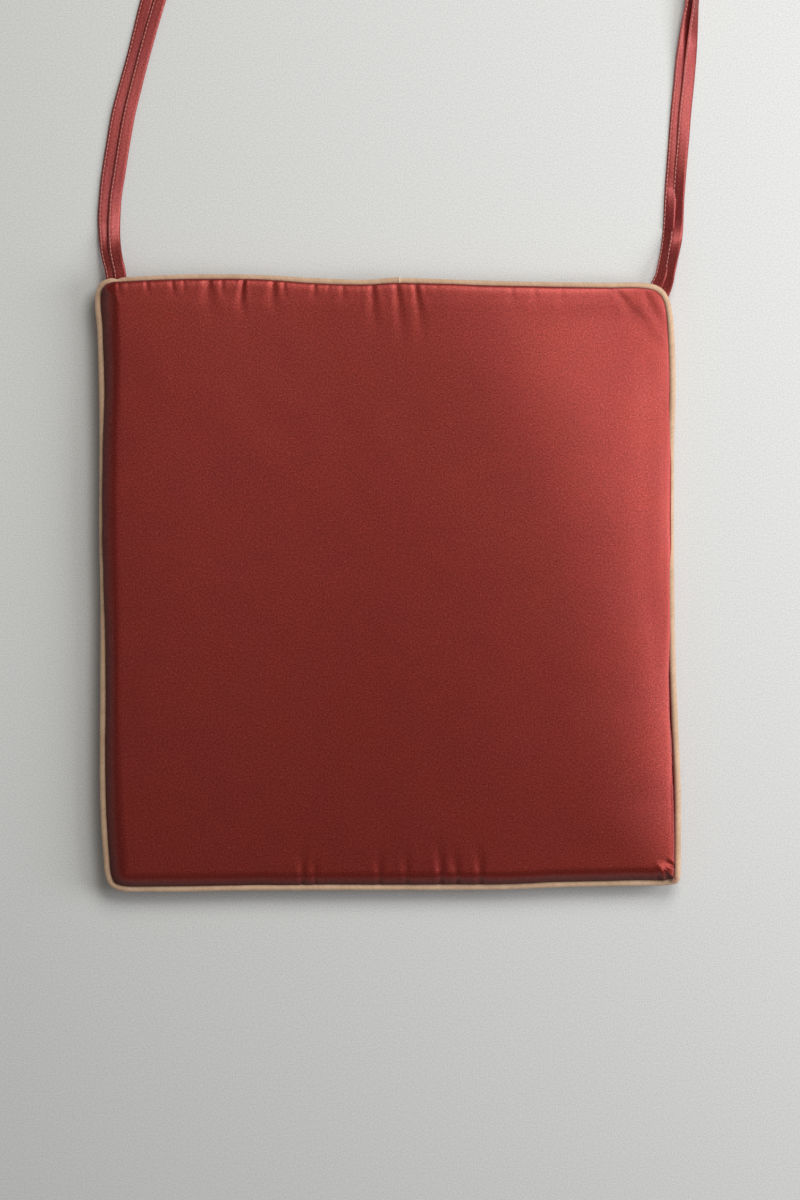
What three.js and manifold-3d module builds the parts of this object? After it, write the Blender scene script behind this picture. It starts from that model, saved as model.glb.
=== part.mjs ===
// Chair seat pad: a foam slab in a piped two-panel cotton cover, with a pair of ties at each rear corner and a
// zip under the rear piping. Millimetres: +X right, +Y to the rear edge, +Z up, origin under the pad's middle.
import * as THREE from 'three';
import { mergeVertices } from 'three/addons/utils/BufferGeometryUtils.js';
import Module from 'manifold-3d';

const manifoldLibrary = await Module();
manifoldLibrary.setup();

// Driving dimensions.
const padThickness = 28;
const seamHeight = padThickness / 2;
const clearance = 0.3;
const clothThickness = 0.8;
const coverEdge = 12;
const rimHeight = 0.4;
const pipingDiameter = 4;
const pipingWall = 0.6;
const pipingJoint = 1;
const seamAllowance = 5;
const foamEdge = 8;
const cornerSteps = 6;
const edgeSteps = 8;

// The corners of the finished pad, piping included, anticlockwise from above.
const corners = [
  { name: 'rear right', x: 184.6, y: 194.6, radius: 15 },
  { name: 'rear left', x: -190, y: 200, radius: 8 },
  { name: 'front left', x: -185, y: -200, radius: 11 },
  { name: 'front right', x: 190, y: -196, radius: 4 },
];
const smallestRadius = 1;

// Ties: narrow folded straps, two at each rear corner.
const tieWidth = 8;
const tieThickness = 1.4;
const tieSteps = 48;
const tieSectionBevel = 0.5;

// Routes of the four straps, from the seam to the free end. The upper strap lies on the lower one.
const leftUpperRoute = [
  [-174.4, 203.4, 12.2], [-175.8, 209, 11.2], [-177.2, 216, 8.5], [-178.2, 226, 5.2], [-178.2, 238, 3.2],
  [-177.3, 252, 2.6], [-174.8, 268, 2.6], [-172, 286, 2.6], [-168.6, 305, 2.6], [-164, 324, 2.6],
  [-159.1, 343, 2.6], [-153.8, 362, 2.6], [-148.4, 380, 2.6], [-141.6, 399, 2.6], [-133, 418, 2.6],
  [-122.6, 436, 2.6], [-110.6, 453, 2.6], [-97.4, 469, 2.6], [-84.6, 482.6, 2.6],
];
const leftLowerRoute = [
  [-179.8, 203.4, 10], [-181.4, 209, 8.5], [-183, 216, 5.6], [-184.2, 226, 2.5], [-184.8, 238, 1.1],
  [-184, 252, 0.9], [-182.3, 268, 0.9], [-179.4, 286, 0.9], [-176.1, 305, 0.9], [-171.2, 324, 0.9],
  [-166, 343, 0.9], [-161.4, 362, 0.9], [-156.9, 380, 0.9], [-150.6, 399, 0.9], [-142.4, 418, 0.9],
  [-132.4, 437, 0.9], [-120.8, 455, 0.9], [-108, 472, 0.9], [-97.8, 484, 0.9],
];
const rightUpperRoute = [
  [182.2, 199.4, 12.2], [183.4, 205, 11.2], [185, 213, 8.5], [187, 224, 5.2], [188.2, 236, 3.2],
  [189, 252, 2.6], [190, 268, 2.6], [191.6, 286, 2.6], [193, 305, 2.6], [195, 324, 2.6],
  [196.9, 343, 2.6], [198.6, 362, 2.6], [200.1, 380, 2.6], [201, 399, 2.6], [200.6, 418, 2.6],
  [198.4, 438, 2.6], [194, 458, 2.6], [187.6, 477, 2.6], [181.4, 491, 2.6],
];
const rightLowerRoute = [
  [176.8, 199.4, 10], [178.2, 205, 8.5], [180, 213, 5.6], [181.8, 224, 2.5], [182.8, 236, 1.1],
  [183.8, 252, 0.9], [185, 268, 0.9], [186.3, 286, 0.9], [187.8, 305, 0.9], [189.6, 324, 0.9],
  [191.3, 343, 0.9], [193.6, 362, 0.9], [195.9, 380, 0.9], [196.4, 399, 0.9], [194.4, 418, 0.9],
  [190.4, 438, 0.9], [184.6, 457, 0.9], [177.2, 476, 0.9], [170.6, 490, 0.9],
];

// Zip, in the frame of the rear edge: x along it, y out from the cover's rim, z up.
const zipLength = 284;
const zipPlane = -4.6;
const zipHeight = 8;
const zipSlot = { length: 304, bottom: 3, top: 11.6 };
const tapeThickness = 0.6;
const tapeLength = 300;
const chainHeight = 3;
const chainDepth = 1.6;
const stopLength = 1.4;
const sliderSize = { length: 9, depth: 1.4, height: 6 };
const sliderStart = -zipLength / 2 + sliderSize.length / 2 + 1;
const pinRadius = 0.5;
const earSize = { length: 1.8, depth: 2.4, height: 0.9 };
const pullSize = { length: 20, width: 4.6, thickness: 0.8 };
const knuckleSize = { radius: 1.3, height: 3 };

const cottonRed = '#7c2b25';
const pipingBeige = '#c9a184';
const foamWhite = '#e9e2cf';
const zipTapeRed = '#6d2a25';
const zipMetal = '#8f8b84';

/** Turns a three.js geometry into a solid for cutting and joining. */
function toSolid(geometry) {
  geometry.deleteAttribute('normal');
  geometry.deleteAttribute('uv');
  const merged = mergeVertices(geometry, 1e-4);
  const mesh = new manifoldLibrary.Mesh({
    numProp: 3,
    vertProperties: new Float32Array(merged.attributes.position.array),
    triVerts: new Uint32Array(merged.index.array),
  });
  mesh.merge();
  return new manifoldLibrary.Manifold(mesh);
}

/** Turns a cut solid back into a three.js geometry. */
function toGeometry(solid) {
  const mesh = solid.getMesh();
  const geometry = new THREE.BufferGeometry();
  geometry.setAttribute('position', new THREE.BufferAttribute(mesh.vertProperties, mesh.numProp));
  geometry.setIndex(new THREE.BufferAttribute(mesh.triVerts, 1));
  geometry.computeVertexNormals();
  return geometry;
}

/** A solid box given by its two opposite corners. */
function boxSolid(low, high) {
  const size = high.map((value, axis) => value - low[axis]);
  const geometry = new THREE.BoxGeometry(...size);
  geometry.translate(...low.map((value, axis) => value + size[axis] / 2));
  return toSolid(geometry);
}

/** The unit direction from one point to another. */
function direction(from, to) {
  return new THREE.Vector2(to.x - from.x, to.y - from.y).normalize();
}

/** Where the corner of the outline lies once both its edges have moved inwards by inset. */
function insetCorner(previous, corner, next, inset) {
  const arriving = direction(previous, corner);
  const leaving = direction(corner, next);
  const turn = arriving.cross(leaving);
  return new THREE.Vector2(corner.x, corner.y)
    .addScaledVector(arriving, -inset / turn)
    .addScaledVector(leaving, inset / turn);
}

/** The outline's rounded corners, one list of arc points for each, with the edges moved inwards by inset. */
function cornerArcs(inset) {
  const places = corners.map((corner, index) => insetCorner(
    corners.at(index - 1), corner, corners[(index + 1) % corners.length], inset));
  return places.map((place, index) => {
    const arriving = direction(places.at(index - 1), place);
    const leaving = direction(place, places[(index + 1) % places.length]);
    const turn = Math.acos(arriving.dot(leaving));
    const radius = Math.max(corners[index].radius - inset, smallestRadius);
    const start = place.clone().addScaledVector(arriving, -radius * Math.tan(turn / 2));
    const centre = start.clone().add(new THREE.Vector2(-arriving.y, arriving.x).multiplyScalar(radius));
    const startAngle = Math.atan2(-arriving.x, arriving.y);
    return Array.from({ length: cornerSteps + 1 }, (_, step) => {
      const angle = startAngle + turn * step / cornerSteps;
      return new THREE.Vector2(centre.x + radius * Math.cos(angle), centre.y + radius * Math.sin(angle));
    });
  });
}

/** The closed plan outline as one list of points. */
function outlinePoints(inset) {
  return cornerArcs(inset).flat();
}

/** A pillow on the plan outline, flat above and below, with rounded edges that are widest at the seam. */
function pillow(inset, height, edge) {
  const geometry = new THREE.ExtrudeGeometry(new THREE.Shape(outlinePoints(inset + edge)), {
    depth: rimHeight,
    bevelThickness: (height - rimHeight) / 2,
    bevelSize: edge,
    bevelSegments: 6,
  });
  geometry.translate(0, 0, seamHeight - rimHeight / 2);
  return toSolid(geometry);
}

/** A route whose section never rolls: the section's x points left of travel and its y points up. */
class LevelPath extends THREE.Curve {
  constructor(points) {
    super();
    this.points = points;
  }

  getPoint(t, target = new THREE.Vector3()) {
    const place = t * (this.points.length - 1);
    const index = Math.min(Math.max(Math.floor(place), 0), this.points.length - 2);
    return target.lerpVectors(this.points[index], this.points[index + 1], place - index);
  }

  getUtoTmapping(u) {
    return u;
  }

  computeFrenetFrames(steps) {
    const up = new THREE.Vector3(0, 0, 1);
    const frames = { tangents: [], normals: [], binormals: [] };
    for (let step = 0; step <= steps; step += 1) {
      const tangent = this.getTangentAt(step / steps);
      const normal = new THREE.Vector3().crossVectors(up, tangent).normalize();
      frames.tangents.push(tangent);
      frames.normals.push(normal);
      frames.binormals.push(new THREE.Vector3().crossVectors(tangent, normal));
    }
    return frames;
  }
}

/** A section swept along a list of points, one step to each point. */
function sweep(section, points) {
  return new THREE.ExtrudeGeometry(section, {
    steps: points.length - 1,
    extrudePath: new LevelPath(points),
  });
}

/** A round section with the given number of sides. */
function roundSection(radius, sides) {
  return new THREE.Shape(Array.from({ length: sides }, (_, side) => {
    const angle = 2 * Math.PI * side / sides;
    return new THREE.Vector2(radius * Math.cos(angle), radius * Math.sin(angle));
  }));
}

/** The line of the piping, from one side of the rear joint round the pad to the other side. */
function pipingLine(joint) {
  const arcs = cornerArcs(pipingDiameter / 2);
  const rearRight = arcs[0].at(-1);
  const rearLeft = arcs[1][0];
  const middle = rearRight.clone().lerp(rearLeft, 0.5);
  const along = direction(rearRight, rearLeft);
  const flat = [middle.clone().addScaledVector(along, joint / 2)];
  const stops = [...arcs.slice(1), arcs[0]];
  stops.forEach((arc) => {
    const from = flat.at(-1);
    for (let step = 1; step < edgeSteps; step += 1) {
      flat.push(from.clone().lerp(arc[0], step / edgeSteps));
    }
    flat.push(...arc);
  });
  flat.push(middle.clone().addScaledVector(along, -joint / 2));
  return flat.map((point) => new THREE.Vector3(point.x, point.y, seamHeight));
}

/** The rear edge's frame at the cover's rim, which the zip is laid out in. */
function rearEdgeFrame() {
  const arcs = cornerArcs(pipingDiameter + clearance);
  const rearRight = arcs[0].at(-1);
  const rearLeft = arcs[1][0];
  const frame = new THREE.Group();
  frame.position.set((rearRight.x + rearLeft.x) / 2, (rearRight.y + rearLeft.y) / 2, 0);
  frame.rotation.z = Math.atan2(rearRight.y - rearLeft.y, rearRight.x - rearLeft.x);
  frame.updateMatrix();
  return frame;
}

/** A cloth-like material. */
function cloth(colour, roughness) {
  return new THREE.MeshStandardMaterial({ color: colour, roughness, metalness: 0 });
}

/** A metal material. */
function metal(colour) {
  return new THREE.MeshStandardMaterial({ color: colour, roughness: 0.35, metalness: 1 });
}

/** A named mesh, placed in a parent at a position. */
function addPart(parent, name, geometry, material, position = [0, 0, 0]) {
  const part = new THREE.Mesh(geometry, material);
  part.name = name;
  part.position.set(...position);
  parent.add(part);
}

/** The foam slab, its edges rounded by the pull of the cover. */
function foamCore() {
  const inset = pipingDiameter + seamAllowance + 2 * clearance;
  return toGeometry(pillow(inset, padThickness - 2 * (clothThickness + clearance), foamEdge));
}

/** The hollow shell of cloth that the two panels are cut from. */
function coverShell() {
  const inset = pipingDiameter + clearance;
  const inner = pillow(inset + clothThickness, padThickness - 2 * clothThickness, coverEdge - clothThickness);
  return pillow(inset, padThickness, coverEdge).subtract(inner);
}

/** A slab as wide as the pad between two heights. */
function levelSlab(low, high) {
  const reach = 300;
  return boxSolid([-reach, -reach, low], [reach, reach, high]);
}

/** The space cut for a tie root: a box under the piping at a rear corner. */
function tieRootBox(root, margin) {
  return boxSolid(
    [root.left - margin, root.front - margin, root.bottom - margin],
    [root.right + margin, root.rear + margin, root.top + margin]);
}

const leftRoot = { left: -184, right: -170, front: 190, rear: 200.2, bottom: 9.3, top: 11.6 };
const rightRoot = { left: 172, right: 185, front: 187, rear: 196, bottom: 9.3, top: 11.6 };

/** The top panel of the cover, down to just above the seam. */
function coverTopPanel(shell) {
  return toGeometry(shell.intersect(levelSlab(seamHeight + clothThickness / 2 + clearance, padThickness + 1)));
}

/** The bottom panel, with the slot for the zip and a notch for each tie root. */
function coverBottomPanel(shell, rearEdge) {
  const slotReach = 10;
  const slot = new THREE.BoxGeometry(zipSlot.length, 2 * slotReach, zipSlot.top - zipSlot.bottom);
  slot.translate(0, 0, (zipSlot.top + zipSlot.bottom) / 2);
  slot.applyMatrix4(rearEdge.matrix);
  return toGeometry(shell
    .intersect(levelSlab(-1, seamHeight - clothThickness / 2 - clearance))
    .subtract(toSolid(slot))
    .subtract(tieRootBox(leftRoot, clearance))
    .subtract(tieRootBox(rightRoot, clearance)));
}

/** The piping's bias strip: a hollow round with the seam allowance that is sewn between the panels. */
function pipingSleeve() {
  const outer = toSolid(sweep(roundSection(pipingDiameter / 2, 12), pipingLine(pipingJoint)));
  const bore = toSolid(sweep(roundSection(pipingDiameter / 2 - pipingWall, 10), pipingLine(pipingJoint / 4)));
  const ring = new THREE.Shape(outlinePoints(pipingDiameter / 2));
  ring.holes.push(new THREE.Path(outlinePoints(pipingDiameter + seamAllowance)));
  const allowance = new THREE.ExtrudeGeometry(ring, { depth: clothThickness, bevelEnabled: false });
  allowance.translate(0, 0, seamHeight - clothThickness / 2);
  const middle = pipingLine(0)[0];
  const joint = boxSolid(
    [middle.x - pipingJoint / 2, middle.y - 20, 0],
    [middle.x + pipingJoint / 2, middle.y + 20, padThickness]);
  return toGeometry(toSolid(allowance).subtract(joint).add(outer).subtract(bore));
}

/** The filler cord inside the sleeve. */
function pipingCord() {
  const radius = pipingDiameter / 2 - pipingWall - clearance;
  return sweep(roundSection(radius, 8), pipingLine(2 * pipingJoint));
}

/** One strap, flat, along a route from the seam to its free end. */
function strap(route) {
  const curve = new THREE.CatmullRomCurve3(route.map((point) => new THREE.Vector3(...point)));
  const half = tieWidth / 2;
  const rise = tieThickness / 2;
  const inner = half - tieSectionBevel;
  const low = rise - tieSectionBevel;
  const section = new THREE.Shape([
    new THREE.Vector2(half, -low), new THREE.Vector2(half, low),
    new THREE.Vector2(inner, rise), new THREE.Vector2(-inner, rise),
    new THREE.Vector2(-half, low), new THREE.Vector2(-half, -low),
    new THREE.Vector2(-inner, -rise), new THREE.Vector2(inner, -rise),
  ]);
  return sweep(section, curve.getSpacedPoints(tieSteps));
}

/** A box geometry centred on x, given by its length and its y and z spans. */
function bar(length, y, z) {
  const geometry = new THREE.BoxGeometry(length, y[1] - y[0], z[1] - z[0]);
  geometry.translate(0, (y[0] + y[1]) / 2, (z[0] + z[1]) / 2);
  return geometry;
}

/** The zip's slider: a plate in front of the teeth with two ears that hold the pull's pin. */
function zipSlider() {
  const front = sliderSize.depth;
  const half = sliderSize.height / 2;
  const plate = toSolid(bar(sliderSize.length, [0, front], [-half, half]));
  const earOffset = knuckleSize.height / 2 + clearance;
  const ear = (side) => {
    const geometry = new THREE.BoxGeometry(earSize.length, earSize.depth + front, earSize.height);
    geometry.translate(0, (front + earSize.depth) / 2, side * (earOffset + earSize.height / 2));
    return toSolid(geometry);
  };
  const pin = new THREE.CylinderGeometry(pinRadius, pinRadius, 2 * earOffset + earSize.height, 12);
  pin.rotateX(Math.PI / 2);
  pin.translate(0, front + earSize.depth - knuckleSize.radius / 2, 0);
  return toGeometry(plate.add(ear(1)).add(ear(-1)).add(toSolid(pin)));
}

/** The zip's pull: a flat tab on a knuckle that turns on the slider's pin. */
function zipPull() {
  const knuckle = new THREE.CylinderGeometry(knuckleSize.radius, knuckleSize.radius, knuckleSize.height, 16);
  knuckle.rotateX(Math.PI / 2);
  const neckLength = 4;
  const neck = boxSolid(
    [0.8, -pullSize.thickness / 2, -knuckleSize.height / 2],
    [neckLength, pullSize.thickness / 2, knuckleSize.height / 2]);
  const tab = boxSolid(
    [neckLength - 0.5, -pullSize.thickness / 2, -pullSize.width / 2],
    [pullSize.length, pullSize.thickness / 2, pullSize.width / 2]);
  const bore = new THREE.CylinderGeometry(pinRadius + clearance, pinRadius + clearance, 2 * knuckleSize.height, 16);
  bore.rotateX(Math.PI / 2);
  return toGeometry(toSolid(knuckle).add(neck).add(tab).subtract(toSolid(bore)));
}

/** The zip, laid out along the rear edge just under the piping. */
function addZip(rearEdge) {
  const tape = cloth(zipTapeRed, 0.85);
  const teeth = cloth(zipTapeRed, 0.5);
  const tapeDepth = [zipPlane - tapeThickness / 2, zipPlane + tapeThickness / 2];
  const chainDepths = [zipPlane - chainDepth / 2, zipPlane + chainDepth / 2];
  const halfGap = clearance / 2;
  const chainTop = zipHeight + chainHeight / 2;
  const chainBottom = zipHeight - chainHeight / 2;
  addPart(rearEdge, 'zip_tape_upper', bar(tapeLength, tapeDepth, [chainTop + clearance, 12.8]), tape);
  addPart(rearEdge, 'zip_tape_lower', bar(tapeLength, tapeDepth, [3.3, chainBottom - clearance]), tape);
  addPart(rearEdge, 'zip_teeth_upper', bar(zipLength, chainDepths, [zipHeight + halfGap, chainTop]), teeth);
  addPart(rearEdge, 'zip_teeth_lower', bar(zipLength, chainDepths, [chainBottom, zipHeight - halfGap]), teeth);
  const stopPlace = zipLength / 2 + clearance + stopLength / 2;
  [['left', -stopPlace], ['right', stopPlace]].forEach(([side, x]) => {
    const stop = bar(stopLength, chainDepths, [chainBottom, chainTop]);
    addPart(rearEdge, `zip_stop_${side}`, stop, metal(zipMetal), [x, 0, 0]);
  });
  const sliderBack = zipPlane + chainDepth / 2 + clearance;
  addPart(rearEdge, 'zip_slider', zipSlider(), metal(zipMetal), [sliderStart, sliderBack, zipHeight]);
  const pinDepth = sliderBack + sliderSize.depth + earSize.depth - knuckleSize.radius / 2;
  addPart(rearEdge, 'zip_pull', zipPull(), metal(zipMetal), [sliderStart, pinDepth, zipHeight]);
}

const group = new THREE.Group();
const rearEdge = rearEdgeFrame();
group.add(rearEdge);

const shell = coverShell();
const cotton = cloth(cottonRed, 0.7);
addPart(group, 'foam_core', foamCore(), cloth(foamWhite, 0.95));
addPart(group, 'cover_top_panel', coverTopPanel(shell), cotton);
addPart(group, 'cover_bottom_panel', coverBottomPanel(shell, rearEdge), cotton);
addPart(group, 'piping_sleeve', pipingSleeve(), cloth(pipingBeige, 0.85));
addPart(group, 'piping_cord', pipingCord(), cloth(foamWhite, 0.9));
addPart(group, 'left_tie_root', toGeometry(tieRootBox(leftRoot, 0)), cotton);
addPart(group, 'right_tie_root', toGeometry(tieRootBox(rightRoot, 0)), cotton);
addPart(group, 'left_tie_upper', strap(leftUpperRoute), cotton);
addPart(group, 'left_tie_lower', strap(leftLowerRoute), cotton);
addPart(group, 'right_tie_upper', strap(rightUpperRoute), cotton);
addPart(group, 'right_tie_lower', strap(rightLowerRoute), cotton);
addZip(rearEdge);

export default group;
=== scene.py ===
"""Chair seat pad: a piped cotton cover over a foam slab, with narrow tie straps at the rear corners.

Every length is in metres, in the part's own frame: +X right, +Y to the rear edge, +Z up.
"""

import logging
import math
from dataclasses import dataclass
from enum import Enum
from typing import Sequence

import bpy
import numpy as np
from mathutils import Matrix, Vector


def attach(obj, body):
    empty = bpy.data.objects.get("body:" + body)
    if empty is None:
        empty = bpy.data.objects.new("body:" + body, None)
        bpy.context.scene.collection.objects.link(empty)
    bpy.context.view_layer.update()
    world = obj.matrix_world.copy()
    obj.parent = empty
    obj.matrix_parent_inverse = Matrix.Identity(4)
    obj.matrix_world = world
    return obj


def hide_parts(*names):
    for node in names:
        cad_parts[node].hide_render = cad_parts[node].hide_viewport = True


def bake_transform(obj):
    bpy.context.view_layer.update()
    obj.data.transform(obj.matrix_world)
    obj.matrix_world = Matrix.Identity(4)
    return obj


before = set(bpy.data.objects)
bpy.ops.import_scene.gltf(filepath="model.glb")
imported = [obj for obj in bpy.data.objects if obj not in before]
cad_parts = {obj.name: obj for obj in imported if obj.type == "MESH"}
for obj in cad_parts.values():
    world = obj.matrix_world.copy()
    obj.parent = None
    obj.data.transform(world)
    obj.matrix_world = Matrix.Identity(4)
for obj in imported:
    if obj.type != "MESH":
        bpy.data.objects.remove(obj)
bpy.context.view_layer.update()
LOG = logging.getLogger("seat_pad")
PAD_BODY = "pad"
SEAM_HEIGHT = 0.014
PIPING_RADIUS = 0.002
SHORTEST = 1e-9

# The finished pad's outline seen from above, piping included, anticlockwise from the rear joint.
RIM_POINTS = (
    (0.0050, 0.1976), (-0.0144, 0.1965), (-0.0476, 0.1975), (-0.0809, 0.1996), (-0.1212, 0.2001),
    (-0.1434, 0.1996), (-0.1700, 0.1982), (-0.1800, 0.1976), (-0.1862, 0.1946), (-0.1893, 0.1890),
    (-0.1900, 0.1805), (-0.1886, 0.1655), (-0.1879, 0.1486), (-0.1870, 0.1063), (-0.1872, 0.0314),
    (-0.1864, -0.0109), (-0.1866, -0.0800), (-0.1865, -0.1412), (-0.1844, -0.1776), (-0.1832, -0.1890),
    (-0.1800, -0.1962), (-0.1733, -0.1994), (-0.1551, -0.2001), (-0.0900, -0.1993), (-0.0574, -0.1991),
    (0.0200, -0.1990), (0.0728, -0.1987), (0.1119, -0.1971), (0.1600, -0.1962), (0.1820, -0.1956),
    (0.1878, -0.1943), (0.1893, -0.1908), (0.1896, -0.1840), (0.1897, -0.1679), (0.1896, -0.1314),
    (0.1880, -0.0956), (0.1862, -0.0500), (0.1855, -0.0109), (0.1855, 0.0867), (0.1864, 0.1239),
    (0.1860, 0.1486), (0.1846, 0.1720), (0.1824, 0.1831), (0.1790, 0.1893), (0.1740, 0.1928),
    (0.1666, 0.1944), (0.1406, 0.1945), (0.0741, 0.1956), (0.0400, 0.1967), (0.0200, 0.1974),
)


def add_mesh(name: str, points: np.ndarray, faces: np.ndarray, smooth: bool = True) -> bpy.types.Object:
    """Makes a mesh object from points and faces.

    Args:
        name: The object's name.
        points: One row of x, y, z for each vertex.
        faces: One row of vertex numbers for each face.
        smooth: Whether the faces are shaded smooth.

    Returns:
        The new object, linked to the scene.
    """
    mesh = bpy.data.meshes.new(name)
    mesh.from_pydata(np.asarray(points, float).tolist(), [], [list(map(int, face)) for face in faces])
    mesh.validate()
    mesh.update()
    mesh.polygons.foreach_set("use_smooth", [smooth] * len(mesh.polygons))
    piece = bpy.data.objects.new(name, mesh)
    bpy.context.scene.collection.objects.link(piece)
    return piece


def set_weave(piece: bpy.types.Object, places: np.ndarray) -> None:
    """Stores where each vertex lies on the flat cloth, so that a weave follows the cloth."""
    attribute = piece.data.attributes.new("weave", "FLOAT_VECTOR", "POINT")
    attribute.data.foreach_set("vector", np.asarray(places, np.float32).ravel())


def grid_faces(rows: int, columns: int, wrap: bool) -> np.ndarray:
    """Faces of a grid of vertices stored row by row.

    Args:
        rows: Number of rows of vertices.
        columns: Number of vertices in each row.
        wrap: Whether each row closes on itself.

    Returns:
        One row of four vertex numbers for each face.
    """
    across = columns if wrap else columns - 1
    row, column = np.meshgrid(np.arange(rows - 1), np.arange(across), indexing="ij")
    start = (row * columns + column).ravel()
    beside = (row * columns + (column + 1) % columns).ravel()
    return np.stack([start, beside, beside + columns, start + columns], axis=1)


def tube_faces(rows: int, columns: int) -> list[list[int]]:
    """Faces of a closed tube of rings: its side and both end caps, facing outwards."""
    faces = grid_faces(rows, columns, wrap=True).tolist()
    faces.append(list(range(columns))[::-1])
    faces.append(list(range((rows - 1) * columns, rows * columns)))
    return faces


def add_tubes(name: str, tubes: np.ndarray, mirrored: bool = False) -> bpy.types.Object:
    """Makes one object from closed tubes that all have the same rings and sides.

    Args:
        name: The object's name.
        tubes: The vertices, by tube, ring, side and axis.
        mirrored: Whether the tubes run the other way round, so that their faces are turned over.

    Returns:
        The new object.
    """
    count, rows, columns = tubes.shape[:3]
    single = [face[::-1] if mirrored else face for face in tube_faces(rows, columns)]
    starts = range(0, count * rows * columns, rows * columns)
    faces = [[start + vertex for vertex in face] for start in starts for face in single]
    return add_mesh(name, tubes.reshape(-1, 3), faces)


def full_turn(count: int) -> np.ndarray:
    """Angles of evenly spaced points once round a circle."""
    return np.linspace(0, 2 * math.pi, count, endpoint=False)


def rounded(wave: np.ndarray, power: float) -> np.ndarray:
    """A sine or cosine with its crests broadened, for an outline between an oval and a box."""
    return np.sign(wave) * np.abs(wave) ** power


def distance_along(line: np.ndarray) -> np.ndarray:
    """Each point's distance from the first one, along the line."""
    return np.concatenate([[0], np.cumsum(np.linalg.norm(np.diff(line, axis=0), axis=1))])


def dress(piece: bpy.types.Object, finish: object, node: str = "", body: str = PAD_BODY) -> None:
    """Finishes a piece: its material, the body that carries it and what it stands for.

    Args:
        piece: The object.
        finish: The finish, which builds the material.
        node: The node that the piece stands for, if any.
        body: The body that the piece moves with.
    """
    piece.data.materials.append(finish.build())
    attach(piece, body)
    if node:
        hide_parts(node)
    LOG.info("built %s", piece.name)


def smooth_line(points: Sequence[Sequence[float]], spacing: float, closed: bool) -> np.ndarray:
    """A smooth line through the points, with vertices at an even spacing.

    Args:
        points: Points that the line passes through.
        spacing: Distance between neighbouring vertices of the result.
        closed: Whether the line returns to its first point.

    Returns:
        The line's vertices; a closed line does not repeat its first one.
    """
    knots = np.asarray(points, float)
    count = len(knots)
    if closed:
        padded = np.vstack([knots[-1], knots, knots[0], knots[1]])
    else:
        padded = np.vstack([2 * knots[0] - knots[1], knots, 2 * knots[-1] - knots[-2]])
    fine = []
    t = np.linspace(0, 1, 24, endpoint=False)[:, None]
    for index in range(count if closed else count - 1):
        before, start, end, after = padded[index:index + 4]
        chord = end - start
        first, second, third = (
            max(np.linalg.norm(step), SHORTEST) ** 0.5 for step in (start - before, chord, after - end)
        )
        leave = chord - second / (first + second) * (end - before) + second / first * (start - before)
        arrive = chord - second / (second + third) * (after - start) + second / third * (after - end)
        fine.append(
            (2 * t**3 - 3 * t**2 + 1) * start + (t**3 - 2 * t**2 + t) * leave
            + (3 * t**2 - 2 * t**3) * end + (t**3 - t**2) * arrive
        )
    fine = np.vstack(fine + [knots[:1] if closed else knots[-1:]])
    along = distance_along(fine)
    pieces = max(int(round(along[-1] / spacing)), 2)
    wanted = np.linspace(0, along[-1], pieces + 1)
    line = np.stack([np.interp(wanted, along, fine[:, axis]) for axis in range(fine.shape[1])], axis=1)
    return line[:-1] if closed else line


def inward_normals(line: np.ndarray) -> np.ndarray:
    """Unit normals of a closed anticlockwise plan line, pointing inwards."""
    tangent = np.roll(line, -1, axis=0) - np.roll(line, 1, axis=0)
    tangent /= np.linalg.norm(tangent, axis=1)[:, None]
    return np.stack([-tangent[:, 1], tangent[:, 0]], axis=1)


def soften(line: np.ndarray, passes: int) -> np.ndarray:
    """Evens out a closed line by averaging neighbours."""
    for _ in range(passes):
        line = 0.5 * line + 0.25 * (np.roll(line, 1, axis=0) + np.roll(line, -1, axis=0))
    return line


def value_noise(points: np.ndarray, size: float, seed: int) -> np.ndarray:
    """Smooth random values between -1 and 1 over a plane.

    Args:
        points: One row of x, y for each value.
        size: Width of one lump.
        seed: Picks the pattern.

    Returns:
        One value for each point.
    """
    cells = 64
    table = np.random.default_rng(seed).uniform(-1, 1, (cells, cells))
    place = points / size + 17.3
    corner = np.floor(place).astype(int)
    t = place - corner
    t = t * t * (3 - 2 * t)
    x0, y0 = corner[:, 0] % cells, corner[:, 1] % cells
    x1, y1 = (x0 + 1) % cells, (y0 + 1) % cells
    low = table[x0, y0] * (1 - t[:, 0]) + table[x1, y0] * t[:, 0]
    high = table[x0, y1] * (1 - t[:, 0]) + table[x1, y1] * t[:, 0]
    return low * (1 - t[:, 1]) + high * t[:, 1]


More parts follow.
